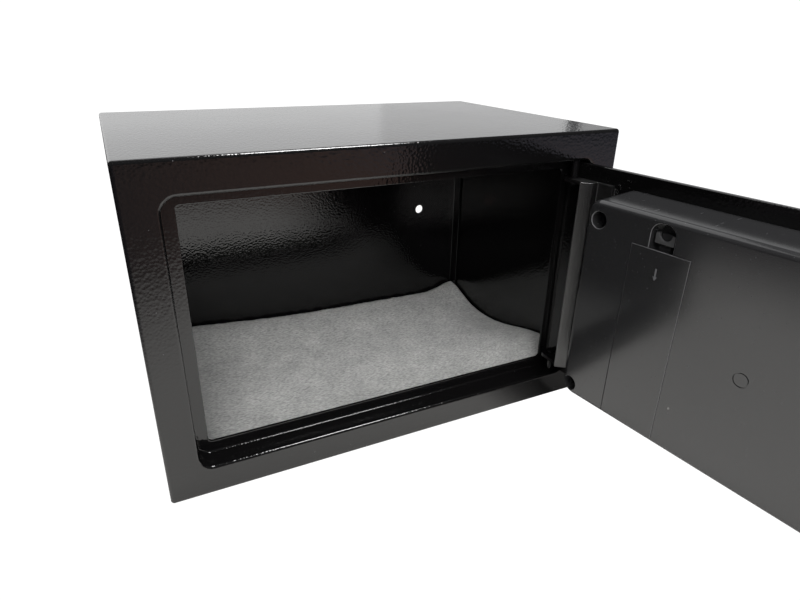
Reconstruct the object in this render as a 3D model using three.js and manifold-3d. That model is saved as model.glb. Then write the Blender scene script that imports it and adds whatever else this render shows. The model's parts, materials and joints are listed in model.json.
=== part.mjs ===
// A small office safe of painted sheet steel, standing with its door open.
// Millimetres. The origin is the centre of the base, x runs to the right, y from the front to the back, z up.
// Every sub-part of the body is drawn from the body's front lower left corner. Every sub-part of the door
// is drawn from that same corner with the door closed, and the door group then swings it open about the
// hinge pins.

import * as THREE from "three";
import { mergeVertices } from "three/addons/utils/BufferGeometryUtils.js";
import Module from "manifold-3d";

const wasm = await Module();
wasm.setup();

// Clearances
const seamGap = 0.3; // between pieces that are welded, screwed or laid on each other
const runGap = 0.5; // between pieces that slide or turn past each other
const through = 1; // how far a cutter runs past the face that it cuts

// Steel body
const bodyWidth = 310;
const bodyDepth = 200;
const bodyHeight = 200;
const bodyWall = 1.5;
const bodyCorner = 2;
const foldRadius = 1;
const borderWidth = 19;
const rebateDepth = 15;
const rebateCorner = 8.5;
const mouthRoll = 2;
const flangeWidth = 7.75;
const hingeFlangeWidth = 13.25;
const flangeWall = 1.5;
const frameLegDepth = 11;
const openingCorner = 2.5;
const panLip = 10;
const anchorRadius = 4;
const anchorSpacing = 229.5;

// Felt mat on the floor
const matThickness = 2.5;
const matSideGap = 2;
const matFrontGap = 1;
const matRearGap = 2.5;
const leftCurl = 15;
const leftCurlReach = 110;
const rearCurlDepth = 45;
const rearWave = 7;
const rearWaveInset = 85;
const rearWaveReach = 150;
const cornerCurl = 9;
const cornerCurlReach = 20;
const cornerCurlDepth = 30;
const sideWave = 21;
const sideWaveInset = 20;
const sideWaveReach = 45;
const sideWaveDepth = 60;
const matColumns = 16;
const matRows = 9;

// Door leaf
const openAngle = 96.3;
const doorPlate = 3.5;
const latchGap = 1.5;
const hingeGap = 2.5;
const doorGap = 2;
const doorCorner = 8;
const doorEdgeRound = 1;

// Hinge
const hingeInset = 10;
const pinRadius = 2.5;
const pinStand = 0.5;
const pinOverlap = 2.5;
const pinReach = 5;
const pinChamfer = 0.5;
const bracketSheet = 2.5;
const bracketStandoff = 15;
const bracketWeldLeg = 17;
const bracketStem = 9;
const bracketLip = 3.5;
const bracketInset = 10;
const earRadius = 6;

// Moulded cover inside the door
const coverThickness = 32.2;
const coverWall = 2.2;
const coverDraft = 2;
const coverCorner = 11;
const coverFillet = 3.5;
const coverInset = 10;
const coverLatchInset = 9;
const coverHingeInset = 44.5;
const screwTopInsetX = 11.3;
const screwTopInsetZ = 13.6;
const screwLowInsetX = 8.1;
const screwLowInsetZ = 9.2;
const screwLatchInsetX = 8;
const screwLatchInsetZ = 11.5;
const counterboreRadius = 5.2;
const counterboreTaper = 1;
const counterboreDepth = 13.8;
const bossWall = 1.7;
const postRadius = 4;
const postFloor = 2;
const screwRadius = 1.9;
const screwHeadRadius = 3.6;
const screwHeadHeight = 2.4;
const screwCrown = 0.6;
const screwTipGap = 4;
const gateInset = 111.8;
const gateDrop = 2.6;
const gateRadius = 4.25;
const gateRing = 0.7;
const gateDepth = 0.6;

// Battery bay and its lid
const lidWidth = 36.4;
const lidOffset = 39.8;
const lidThickness = 1.8;
const lidWrap = 15.7;
const bayWall = 1.6;
const bayLedge = 1.3;
const bayFoot = 2.7;
const cellRadius = 7.25;
const cellLength = 50.5;
const cellPlay = 5.1;
const cellNubRadius = 2.7;
const cellNubLength = 1;
const contactSheet = 0.6;
const contactMargin = 1;
const contactNoseRadius = 3;
const thumbWidth = 15;
const thumbHeight = 15;
const thumbCorner = 6.5;
const tongueWidth = 7;
const latchWidth = 12;
const tongueSheet = 1.4;
const tongueDrop = 3.4;
const tongueRoot = 1.5;
const catchGap = 3;
const catchHeight = 6;
const catchLip = 1.4;
const hornWidth = 2;
const arrowInset = 22;
const arrowLength = 9;
const arrowHead = 3;
const arrowHalf = 1.6;
const arrowRise = 0.4;

// Lock work
const boltRadius = 7.5;
const boltTail = 4;
const boltHead = 6;
const boltLength = 29.2;
const boltChamfer = 1;
const rivetHead = 2;
const boltEdge = 31;
const boltThrow = 18;
const boltInset = 10;
const boltCoverGap = 0.8;
const guideSheet = 2.5;
const guideOffset = 14.5;
const guideWeldLeg = 12;
const guideEnd = 4;
const guideRise = 4.5;
const carriageSheet = 2.5;
const carriageWidth = 52;
const carriageStandoff = 9.5;
const carriageEar = 10;
const armHeight = 13.5;
const windowWidth = 7;
const windowHeight = 44;
const windowInset = 10;
const windowCorner = 3;
const studSpacing = 60;
const studOffset = 4;
const studRadius = 3;
const studShoulder = 5;
const studHead = 2;
const studEase = 0.5;
const crankSheet = 3;
const crankPinRadius = 2.5;
const crankEye = 6;
const crankPinOver = 1.5;
const crankSlotGap = 0.7;
const spindleRadius = 4;
const bushingWall = 2.5;
const bushingFlange = 2;
const bushingFlangeWidth = 3;

// Knob
const knobX = 88;
const knobRadius = 18;
const knobHeight = 19;
const knobGrip = 8;
const knobGripHeight = 11;
const knobGripCorner = 3.5;
const knobGripInset = 1;
const knobEase = 1.5;
const knobFace = 4.5;
const knobTurn = 90;

// Key override
const keyX = 150;
const keyDrop = 28;
const cylinderRadius = 9.5;
const cylinderLip = 1.5;
const cylinderLipWidth = 1;
const cylinderDepth = 16;
const plugRadius = 5.8;
const camLength = 20.5;
const camWidth = 5.2;
const camSheet = 2.5;
const nutAcross = 25;
const nutThickness = 4;
const keySlotWidth = 2;
const keySlotHeight = 8;
const keySlotDepth = 18;
const shutterSheet = 1.7;
const shutterRadius = 10;
const shutterArm = 14;
const shutterPin = 1.5;
const shutterEye = 4.5;
const shutterHub = 3;
const shutterPinReach = 1;

// Solenoid that blocks the bolt carriage
const solenoidX = 125;
const plungerRadius = 4;
const plungerStroke = 4;
const plungerFoot = 3.3;
const plungerCollar = 6.2;
const collarThickness = 1.6;
const springWire = 0.8;
const springTurns = 5;
const springLength = 10.3;
const springPlay = 0.2;
const plungerHeadroom = 1;
const solenoidSheet = 1.5;
const solenoidMargin = 1.5;
const solenoidLip = 0.8;
const coilRadius = 8.5;
const coilLength = 19.4;
const coilWaist = 1.4;
const coilCheek = 1.5;

// Keypad on the outside
const padHeight = 92;
const padDepth = 12;
const padKnobMargin = 6;
const padSideGap = 4.5;
const padWall = 2;
const padCorner = 9;
const padEdgeRound = 2.5;
const buttonWidth = 11;
const buttonHeight = 8.5;
const buttonCorner = 2;
const buttonPitchX = 14;
const buttonPitchZ = 12;
const buttonTopInset = 9;
const buttonRise = 2.5;
const buttonFlange = 0.8;
const buttonFlangeSheet = 0.9;
const buttonGap = 0.4;
const buttonTravel = 0.8;
const lampRadius = 1.6;
const lampPitch = 12;
const lampInset = 12;
const lampDome = 0.9;
const lampFlange = 0.8;
const lampFlangeSheet = 1.2;
const boardSheet = 1.6;
const boardMargin = 6;
const boardCorner = 2;
const boardGap = 1;
const boardPostRadius = 1.8;
const boardPostInset = 3;
const boardDepth = 4.6;
const wireHoleRadius = 5;
const wireHoleX = 160;
const wireHoleRise = 25;
const leadRadius = 1.3;
const leadPitch = 1.8;

// Places that follow from the sizes above
const middleZ = bodyHeight / 2;
const mouth = {
  left: borderWidth,
  right: bodyWidth - borderWidth,
  bottom: borderWidth,
  top: bodyHeight - borderWidth,
};
const leaf = {
  left: mouth.left + latchGap,
  right: mouth.right - hingeGap,
  bottom: mouth.bottom + doorGap,
  top: mouth.top - doorGap,
};
const openingCentre = (mouth.left + flangeWidth + mouth.right - hingeFlangeWidth) / 2;
const hingeX = mouth.right - hingeInset;
const hingeY = doorPlate + pinStand + pinRadius;
const plateBack = doorPlate + seamGap;
const coverFace = plateBack + coverThickness;
const rim = {
  left: leaf.left + coverLatchInset,
  right: leaf.right - coverHingeInset,
  bottom: leaf.bottom + coverInset,
  top: leaf.top - coverInset,
};
const boltY = coverFace - coverWall - boltCoverGap - boltRadius;
const boltTip = leaf.left + boltInset;
const boltHeights = { upper: rim.top - boltEdge, lower: rim.bottom + boltEdge };
const keyZ = middleZ - keyDrop;
const wireHoleZ = middleZ + wireHoleRise;
const carriageY = doorPlate + carriageStandoff;
const carriageLeft = boltTip + boltLength + seamGap;
const carriageRight = carriageLeft + carriageWidth;
const crankRadius = boltThrow / (2 * Math.sin(THREE.MathUtils.degToRad(knobTurn / 2)));
const solenoidY = carriageY + carriageSheet / 2;
const collarBottom = keyZ + camWidth / 2 + runGap;
const plungerTip = collarBottom - plungerFoot;
const armTop = plungerTip - seamGap;
const padFront = -seamGap - padDepth;
const panelBack = padFront + padWall;

// Outlines are drawn in a plane and given to the prism functions below.
function roundedOutline(left, right, low, high, radius) {
  const shape = new THREE.Shape();
  shape.moveTo(right, low + radius);
  shape.absarc(right - radius, high - radius, radius, 0, Math.PI / 2);
  shape.absarc(left + radius, high - radius, radius, Math.PI / 2, Math.PI);
  shape.absarc(left + radius, low + radius, radius, Math.PI, Math.PI * 1.5);
  shape.absarc(right - radius, low + radius, radius, Math.PI * 1.5, Math.PI * 2);
  return shape;
}

// Two half rounds joined by straight sides, as a slot or a lever is.
function slotOutline(x1, y1, x2, y2, radius) {
  const angle = Math.atan2(y2 - y1, x2 - x1);
  const shape = new THREE.Shape();
  shape.absarc(x2, y2, radius, angle - Math.PI / 2, angle + Math.PI / 2);
  shape.absarc(x1, y1, radius, angle + Math.PI / 2, angle + Math.PI * 1.5);
  return shape;
}

function polygonOutline(points) {
  return new THREE.Shape(points.map(([x, y]) => new THREE.Vector2(x, y)));
}

// A closed geometry as a solid that can be joined and cut, without the slivers that have no area.
function solidOf(geometry) {
  const bare = geometry.clone();
  bare.deleteAttribute("normal");
  bare.deleteAttribute("uv");
  const merged = mergeVertices(bare, 1e-4);
  const corners = merged.index.array;
  const kept = [];
  for (let i = 0; i < corners.length; i += 3) {
    const [a, b, c] = [corners[i], corners[i + 1], corners[i + 2]];
    if (a !== b && b !== c && c !== a) kept.push(a, b, c);
  }
  const mesh = new wasm.Mesh({
    numProp: 3,
    vertProperties: new Float32Array(merged.attributes.position.array),
    triVerts: new Uint32Array(kept),
  });
  return new wasm.Manifold(mesh);
}

function geometryOf(solid) {
  const { vertProperties, triVerts } = solid.getMesh();
  const geometry = new THREE.BufferGeometry();
  geometry.setAttribute("position", new THREE.BufferAttribute(new Float32Array(vertProperties), 3));
  geometry.setIndex(new THREE.BufferAttribute(new Uint32Array(triVerts), 1));
  geometry.computeVertexNormals();
  return geometry;
}

// Prisms: an outline pushed along y or z. The outline is drawn in (x, z) or (x, y).
const axisX = new THREE.Vector3(1, 0, 0);
const axisY = new THREE.Vector3(0, 1, 0);
const axisZ = new THREE.Vector3(0, 0, 1);

function prism(outline, length, basis, place, arcSteps) {
  const geometry = new THREE.ExtrudeGeometry(outline, {
    depth: length,
    bevelEnabled: false,
    curveSegments: arcSteps,
  });
  geometry.applyMatrix4(basis);
  geometry.translate(place.x, place.y, place.z);
  return solidOf(geometry);
}

function prismY(outline, from, to, arcSteps = 2) {
  const basis = new THREE.Matrix4().makeBasis(axisX, axisZ, axisY.clone().negate());
  return prism(outline, to - from, basis, { x: 0, y: to, z: 0 }, arcSteps);
}

function prismZ(outline, from, to, arcSteps = 2) {
  return prism(outline, to - from, new THREE.Matrix4(), { x: 0, y: 0, z: from }, arcSteps);
}

function block(x1, x2, y1, y2, z1, z2) {
  const geometry = new THREE.BoxGeometry(x2 - x1, y2 - y1, z2 - z1);
  geometry.translate((x1 + x2) / 2, (y1 + y2) / 2, (z1 + z2) / 2);
  return solidOf(geometry);
}

// Turned pieces: a profile of [distance along the axis, radius] pairs, spun about an axis through a point.
function turned(profile, direction, place, sides = 16) {
  const points = profile.map(([along, radius]) => new THREE.Vector2(radius, along));
  const geometry = new THREE.LatheGeometry(points, sides);
  const turn = new THREE.Quaternion().setFromUnitVectors(axisY, direction);
  geometry.applyQuaternion(turn);
  geometry.translate(place[0], place[1], place[2]);
  return solidOf(geometry);
}

function rod(direction, place, from, to, radius, sides = 16) {
  return turned([[from, 0], [from, radius], [to, radius], [to, 0]], direction, place, sides);
}

function rodY(x, z, from, to, radius, sides = 16) {
  return rod(axisY, [x, 0, z], from, to, radius, sides);
}

function tubeY(x, z, from, to, outer, inner, sides = 20) {
  const profile = [[from, inner], [from, outer], [to, outer], [to, inner], [from, inner]];
  return turned(profile, axisY, [x, 0, z], sides);
}

// One level of a lofted skin: a rounded rectangle at depth y, drawn in x and z.
function level(y, box, inset, radius, steps) {
  const left = box.left + inset;
  const right = box.right - inset;
  const bottom = box.bottom + inset;
  const top = box.top - inset;
  const centres = [
    [right - radius, top - radius],
    [left + radius, top - radius],
    [left + radius, bottom + radius],
    [right - radius, bottom + radius],
  ];
  const ring = [];
  centres.forEach(([x, z], quarter) => {
    for (let i = 0; i <= steps; i++) {
      const angle = ((quarter + i / steps) * Math.PI) / 2;
      ring.push([x + radius * Math.cos(angle), y, z + radius * Math.sin(angle)]);
    }
  });
  return ring;
}

// A closed skin over levels that all have the same number of points, flat at both ends.
function loft(levels) {
  const size = levels[0].length;
  const index = [];
  for (let i = 0; i + 1 < levels.length; i++) {
    for (let j = 0; j < size; j++) {
      const [a, b] = [i * size + j, i * size + ((j + 1) % size)];
      index.push(a, a + size, b + size, a, b + size, b);
    }
  }
  const last = (levels.length - 1) * size;
  for (let j = 1; j + 1 < size; j++) {
    index.push(0, j, j + 1);
    index.push(last, last + j + 1, last + j);
  }
  const geometry = new THREE.BufferGeometry();
  geometry.setAttribute("position", new THREE.Float32BufferAttribute(levels.flat(2), 3));
  geometry.setIndex(index);
  return solidOf(geometry);
}

// A quarter round between a side and a flat face, as [rise, inset] pairs from the side to the face.
function quarterRound(radius, steps) {
  return Array.from({ length: steps }, (_, i) => {
    const angle = (((i + 1) / steps) * Math.PI) / 2;
    return [radius * Math.sin(angle), radius * (1 - Math.cos(angle))];
  });
}

// A tube along a curve, such as a wire. Its ends are flat.
function tubeAlong(curve, radius, steps, sides) {
  const section = new THREE.Shape();
  section.absarc(0, 0, radius, 0, Math.PI * 2);
  const geometry = new THREE.ExtrudeGeometry(section, {
    steps,
    bevelEnabled: false,
    extrudePath: curve,
    curveSegments: sides / 2,
  });
  return solidOf(geometry);
}

// Body of the safe

// One folded sheet: top, bottom, sides, the border round the door and the rolled wall of the rebate.
function bodyShell() {
  const outside = { left: 0, right: bodyWidth, bottom: 0, top: bodyHeight };
  const inside = {
    left: bodyWall,
    right: bodyWidth - bodyWall,
    bottom: bodyWall,
    top: bodyHeight - bodyWall,
  };
  const steps = 3;
  const front = quarterRound(bodyCorner, 3).map(([rise, inset]) => {
    const radius = Math.max(bodyCorner - inset, foldRadius / 2);
    return level(bodyCorner - rise, outside, inset, radius, steps);
  });
  const outer = loft([
    ...front.reverse(),
    level(bodyCorner, outside, 0, bodyCorner, steps),
    level(bodyDepth, outside, 0, bodyCorner, steps),
  ]);
  const hollow = loft([
    level(bodyWall, inside, 0, foldRadius, steps),
    level(bodyDepth + through, inside, 0, foldRadius, steps),
  ]);
  const cornerSteps = 6;
  const lip = loft([
    level(bodyWall / 2, mouth, -bodyWall, rebateCorner + bodyWall, cornerSteps),
    level(rebateDepth - seamGap, mouth, -bodyWall, rebateCorner + bodyWall, cornerSteps),
  ]);
  const roll = quarterRound(mouthRoll, 4).map(([rise, inset]) =>
    level(mouthRoll - rise, mouth, -inset, rebateCorner + inset, cornerSteps),
  );
  const cut = loft([
    level(-through, mouth, -mouthRoll, rebateCorner + mouthRoll, cornerSteps),
    ...roll.reverse(),
    level(mouthRoll, mouth, 0, rebateCorner, cornerSteps),
    level(rebateDepth + through, mouth, 0, rebateCorner, cornerSteps),
  ]);
  return outer.subtract(hollow).add(lip).subtract(cut).subtract(hingePinHoles());
}

// The pins turn in two holes, through the rebate's wall and the leg of the stop frame behind it.
function hingePinHoles() {
  const reach = 2 * bodyWall + seamGap + flangeWall + through;
  const radius = pinRadius + pinStand / 2;
  const upper = rod(axisZ, [hingeX, hingeY, mouth.top], -through, reach, radius);
  const lower = rod(axisZ, [hingeX, hingeY, mouth.bottom], -reach, through, radius);
  return upper.add(lower);
}

// Angle frame welded behind the rebate: its leg laps the rolled wall, its flange is the stop for the door.
function doorFrame() {
  const lap = bodyWall + seamGap;
  const steps = 6;
  const legFront = rebateDepth - frameLegDepth;
  const back = rebateDepth + flangeWall;
  const outer = loft([
    level(legFront, mouth, -lap - flangeWall, rebateCorner + lap + flangeWall, steps),
    level(back, mouth, -lap - flangeWall, rebateCorner + lap + flangeWall, steps),
  ]);
  const hollow = loft([
    level(legFront - through, mouth, -lap, rebateCorner + lap, steps),
    level(rebateDepth, mouth, -lap, rebateCorner + lap, steps),
  ]);
  const opening = roundedOutline(
    mouth.left + flangeWidth,
    mouth.right - hingeFlangeWidth,
    mouth.bottom + flangeWidth,
    mouth.top - flangeWidth,
    openingCorner,
  );
  const cut = prismY(opening, rebateDepth - through, back + through);
  return outer.subtract(hollow).subtract(cut).subtract(hingePinHoles());
}

// Back of the safe: a pan whose lips point forwards inside the walls, with two holes for wall anchors.
// The holes lie evenly about the middle of the door opening.
function backPanel() {
  const fit = bodyWall + seamGap;
  const box = { left: fit, right: bodyWidth - fit, bottom: fit, top: bodyHeight - fit };
  const outer = loft([
    level(bodyDepth - bodyWall - panLip, box, 0, foldRadius, 2),
    level(bodyDepth, box, 0, foldRadius, 2),
  ]);
  const hollow = loft([
    level(bodyDepth - bodyWall - panLip - through, box, bodyWall, foldRadius, 2),
    level(bodyDepth - bodyWall, box, bodyWall, foldRadius, 2),
  ]);
  const holes = [-1, 1].map((side) => {
    const x = openingCentre + (side * anchorSpacing) / 2;
    return rodY(x, middleZ, bodyDepth - bodyWall - through, bodyDepth + through, anchorRadius, 24);
  });
  return outer.subtract(hollow).subtract(holes[0]).subtract(holes[1]);
}

// Felt mat, cut a little too large for the floor: its back edge climbs the wall and its right edge waves.
function floorMat() {
  const left = bodyWall + matSideGap;
  const right = bodyWidth - bodyWall - matSideGap;
  const front = rebateDepth + flangeWall + matFrontGap;
  const rear = bodyDepth - bodyWall - matRearGap;
  const swells = [
    { x: left, y: rear, height: leftCurl, reachX: leftCurlReach, reachY: rearCurlDepth },
    { x: right - rearWaveInset, y: rear, height: rearWave, reachX: rearWaveReach, reachY: rearCurlDepth },
    { x: right, y: rear, height: cornerCurl, reachX: cornerCurlReach, reachY: cornerCurlDepth },
    { x: right, y: front + sideWaveInset, height: sideWave, reachX: sideWaveReach, reachY: sideWaveDepth },
  ];
  const seat = bodyWall + seamGap;
  const lift = (x, y) =>
    swells.reduce((sum, s) => {
      const away = ((x - s.x) / s.reachX) ** 2 + ((y - s.y) / s.reachY) ** 2;
      return sum + s.height * Math.exp(-away);
    }, seat);
  const points = [];
  for (const side of [0, matThickness]) {
    for (let row = 0; row <= matRows; row++) {
      for (let column = 0; column <= matColumns; column++) {
        const x = left + ((right - left) * column) / matColumns;
        const y = front + ((rear - front) * row) / matRows;
        points.push(x, y, lift(x, y) + side);
      }
    }
  }
  const wide = matColumns + 1;
  const sheet = wide * (matRows + 1);
  const index = [];
  const quad = (a, b, c, d) => index.push(a, b, c, a, c, d);
  for (let row = 0; row < matRows; row++) {
    for (let column = 0; column < matColumns; column++) {
      const a = row * wide + column;
      quad(a, a + wide, a + wide + 1, a + 1);
      quad(sheet + a, sheet + a + 1, sheet + a + wide + 1, sheet + a + wide);
    }
  }
  for (let column = 0; column < matColumns; column++) {
    const near = column;
    const far = matRows * wide + column;
    quad(near, near + 1, sheet + near + 1, sheet + near);
    quad(far + 1, far, sheet + far, sheet + far + 1);
  }
  for (let row = 0; row < matRows; row++) {
    const near = row * wide;
    const far = near + matColumns;
    quad(near + wide, near, sheet + near, sheet + near + wide);
    quad(far, far + wide, sheet + far + wide, sheet + far);
  }
  const geometry = new THREE.BufferGeometry();
  geometry.setAttribute("position", new THREE.Float32BufferAttribute(points, 3));
  geometry.setIndex(index);
  return solidOf(geometry);
}

// Door leaf

// Screw places, near the corners of the moulded cover, as [x, z] pairs.
const screwPlaces = [
  [rim.right - screwTopInsetX, rim.top - screwTopInsetZ],
  [rim.right - screwLowInsetX, rim.bottom + screwLowInsetZ],
  [rim.left + screwLatchInsetX, rim.top - screwLatchInsetZ],
  [rim.left + screwLatchInsetX, rim.bottom + screwLatchInsetZ],
];
const counterboreFloor = coverFace - counterboreDepth;
const postTop = counterboreFloor - coverWall - seamGap;

// Steel plate with its edge eased, and four threaded posts welded to its back for the cover's screws.
function doorLeaf() {
  const steps = 4;
  const eased = quarterRound(doorEdgeRound, 3).map(([rise, inset]) =>
    level(doorEdgeRound - rise, leaf, inset, doorCorner - inset, steps),
  );
  let plate = loft([
    ...eased.reverse(),
    level(doorEdgeRound, leaf, 0, doorCorner, steps),
    level(doorPlate, leaf, 0, doorCorner, steps),
  ]);
  for (const [x, z] of screwPlaces) {
    plate = plate.add(rodY(x, z, doorPlate / 2, postTop, postRadius, 12));
    plate = plate.subtract(rodY(x, z, plateBack + postFloor, postTop + through, screwRadius + seamGap, 8));
  }
  const bushingHole = spindleRadius + runGap + bushingWall + seamGap;
  const holes = [
    [knobX, middleZ, bushingHole],
    [keyX, keyZ, cylinderRadius + seamGap],
    [wireHoleX, wireHoleZ, wireHoleRadius],
  ];
  for (const [x, z, radius] of holes) {
    plate = plate.subtract(rodY(x, z, -through, doorPlate + through, radius, 20));
  }
  return plate;
}

// Angle welded to the plate's back, its edge bent outwards as a slanted lip, with a rounded ear at each end
// that carries a hinge pin.
function hingeBracket() {
  const outer = hingeX - bracketStandoff;
  const inner = outer - bracketSheet;
  const weldEnd = outer - bracketWeldLeg;
  const top = leaf.top - bracketInset;
  const bottom = leaf.bottom + bracketInset;
  const bend = plateBack + bracketStem;
  const sheetAcross = bracketSheet * Math.SQRT1_2;
  const bendBack = bend - bracketSheet * Math.tan(Math.PI / 8);
  const lip = [
    [outer, bendBack],
    [inner + bracketLip + sheetAcross, bend + bracketLip - sheetAcross],
    [inner + bracketLip, bend + bracketLip],
    [inner, bend],
  ];
  const angle = prismZ(
    polygonOutline([
      [weldEnd, plateBack],
      [outer, plateBack],
      ...lip,
      [inner, plateBack + bracketSheet],
      [weldEnd, plateBack + bracketSheet],
    ]),
    bottom,
    top,
  );
  const earLow = Math.asin((plateBack - hingeY) / earRadius);
  const ear = new THREE.Shape();
  ear.moveTo(inner, plateBack);
  ear.lineTo(hingeX + earRadius * Math.cos(earLow), plateBack);
  ear.absarc(hingeX, hingeY, earRadius, earLow, Math.PI / 2);
  lip.slice(1).forEach(([x, y]) => ear.lineTo(x, y));
  const radius = pinRadius + seamGap;
  const upperHole = rod(axisZ, [hingeX, hingeY, top], -bracketSheet - through, through, radius);
  const lowerHole = rod(axisZ, [hingeX, hingeY, bottom], -through, bracketSheet + through, radius);
  return angle
    .add(prismZ(ear, top - bracketSheet, top, 6))
    .add(prismZ(ear, bottom, bottom + bracketSheet, 6))
    .subtract(upperHole)
    .subtract(lowerHole);
}

// Pin welded into the ear. It runs on into the hole in the rebate's wall.
function hingePin(up) {
  const direction = up ? axisZ : axisZ.clone().negate();
  const ear = up ? leaf.top - bracketInset : -(leaf.bottom + bracketInset);
  const wall = up ? mouth.top : -mouth.bottom;
  const start = ear - bracketSheet - pinOverlap;
  const end = wall + pinReach;
  const profile = [
    [start, 0],
    [start, pinRadius - pinChamfer],
    [start + pinChamfer, pinRadius],
    [end - pinChamfer, pinRadius],
    [end, pinRadius - pinChamfer],
    [end, 0],
  ];
  return turned(profile, direction, [hingeX, hingeY, 0], 12);
}

// The moulded cover's skin. The skin value draws it that much further in, for the hollow side.
function coverHull(skin) {
  const steps = 4;
  const slope = coverDraft / coverThickness;
  const radius = coverFillet - Math.min(skin, coverFillet - 1);
  const filletStart = coverFace - skin - radius;
  const at = (y, inset) =>
    level(y, rim, inset + skin, Math.max(coverCorner - inset - skin, 1), steps);
  const start = skin > 0 ? plateBack - through : plateBack;
  return loft([
    at(start, (start - plateBack) * slope),
    at(filletStart, (filletStart - plateBack) * slope),
    ...quarterRound(radius, 4).map(([rise, inset]) =>
      at(filletStart + rise, (filletStart + rise - plateBack) * slope + inset),
    ),
  ]);
}

// Places of the battery bay, between the inner faces of its walls. Two cells in line set its height.
const lidCentre = keyX + lidOffset;
const bayBottom = rim.bottom + coverDraft + coverWall + bayWall + bayFoot;
const bayTop = bayBottom + 2 * cellLength + cellPlay;
const lidTop = bayTop + bayWall + bayLedge;
const lidSides = { left: lidCentre - lidWidth / 2, right: lidCentre + lidWidth / 2 };
const tongueBack = coverFace - lidThickness - tongueDrop;
const bay = {
  left: lidSides.left + bayLedge - seamGap,
  right: lidSides.right - bayLedge + seamGap,
  bottom: bayBottom,
  top: bayTop,
  back: tongueBack - runGap - 2 * cellRadius - seamGap,
};
const thumbFloor = tongueBack - runGap;
const thumb = {
  left: lidCentre - thumbWidth / 2,
  right: lidCentre + thumbWidth / 2,
  bottom: lidTop + seamGap,
  top: lidTop + seamGap + thumbHeight,
};

function thumbOutline(grow) {
  const radius = thumbCorner + grow;
  const shape = new THREE.Shape();
  shape.moveTo(thumb.left - grow, thumb.bottom - grow);
  shape.lineTo(thumb.right + grow, thumb.bottom - grow);
  shape.absarc(thumb.right + grow - radius, thumb.top + grow - radius, radius, 0, Math.PI / 2);
  shape.absarc(thumb.left - grow + radius, thumb.top + grow - radius, radius, Math.PI / 2, Math.PI);
  return shape;
}

// Space that the lid takes up in the cover: its plate, and the part of it that wraps the lower edge.
function lidSpace(gap) {
  return block(
    lidSides.left - gap,
    lidSides.right + gap,
    coverFace - lidWrap - gap,
    coverFace + through,
    rim.bottom - through,
    lidTop + gap,
  );
}

// Cover over the lock work: a moulded tray with screw wells, a battery bay and a thumb recess for its lid.
function innerCover() {
  const outside = coverHull(0);
  const inside = coverHull(coverWall);
  const wellSides = 14;
  let bosses = null;
  for (const [x, z] of screwPlaces) {
    const outer = counterboreRadius + bossWall;
    const boss = rodY(x, z, counterboreFloor - coverWall, coverFace, outer, wellSides);
    bosses = bosses ? bosses.add(boss) : boss;
  }
  const bayWalls = block(
    bay.left - bayWall,
    bay.right + bayWall,
    bay.back - bayWall,
    coverFace,
    bay.bottom - bayWall,
    bay.top + bayWall,
  );
  const thumbWalls = prismY(thumbOutline(bayWall), thumbFloor - bayWall, coverFace);
  const fillings = bosses.add(bayWalls).add(thumbWalls).intersect(outside);
  let cover = outside.subtract(inside).add(fillings);
  const lidBed = lidSpace(seamGap).subtract(coverHull(lidThickness + seamGap));
  cover = cover.subtract(lidBed);
  const bayHollow = block(bay.left, bay.right, bay.back, coverFace + through, bay.bottom, bay.top);
  const recess = prismY(thumbOutline(0), thumbFloor, coverFace + through);
  cover = cover.subtract(bayHollow).subtract(recess);
  const tongueSlot = block(
    lidCentre - latchWidth / 2 - runGap,
    lidCentre + latchWidth / 2 + runGap,
    thumbFloor,
    coverFace,
    bay.top - through,
    thumb.bottom + through,
  );
  cover = cover.subtract(tongueSlot);
  for (const [x, z] of screwPlaces) {
    const well = turned(
      [
        [counterboreFloor, 0],
        [counterboreFloor, counterboreRadius - counterboreTaper],
        [coverFace + through, counterboreRadius],
        [coverFace + through, 0],
      ],
      axisY,
      [x, 0, z],
      wellSides,
    );
    const holeStart = counterboreFloor - coverWall - through;
    const hole = rodY(x, z, holeStart, coverFace, screwRadius + seamGap, 8);
    cover = cover.subtract(well).subtract(hole);
  }
  for (const z of Object.values(boltHeights)) {
    const end = rim.left + coverDraft + coverWall + coverFillet;
    const hole = rod(axisX, [0, boltY, z], rim.left - through, end, boltRadius + runGap, 20);
    cover = cover.subtract(hole);
  }
  const gate = tubeY(rim.right - gateInset, middleZ - gateDrop, coverFace - gateDepth, coverFace + through,
    gateRadius, gateRadius - gateRing);
  return cover.subtract(gate);
}

// Screw with a pan head, deep in its well.
function coverScrew([x, z]) {
  const seat = counterboreFloor + seamGap;
  return turned(
    [
      [plateBack + screwTipGap, 0],
      [plateBack + screwTipGap, screwRadius],
      [seat, screwRadius],
      [seat, screwHeadRadius],
      [seat + screwHeadHeight * screwCrown, screwHeadRadius],
      [seat + screwHeadHeight, screwHeadRadius * screwCrown],
      [seat + screwHeadHeight, 0],
    ],
    axisY,
    [x, 0, z],
    12,
  );
}

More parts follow.
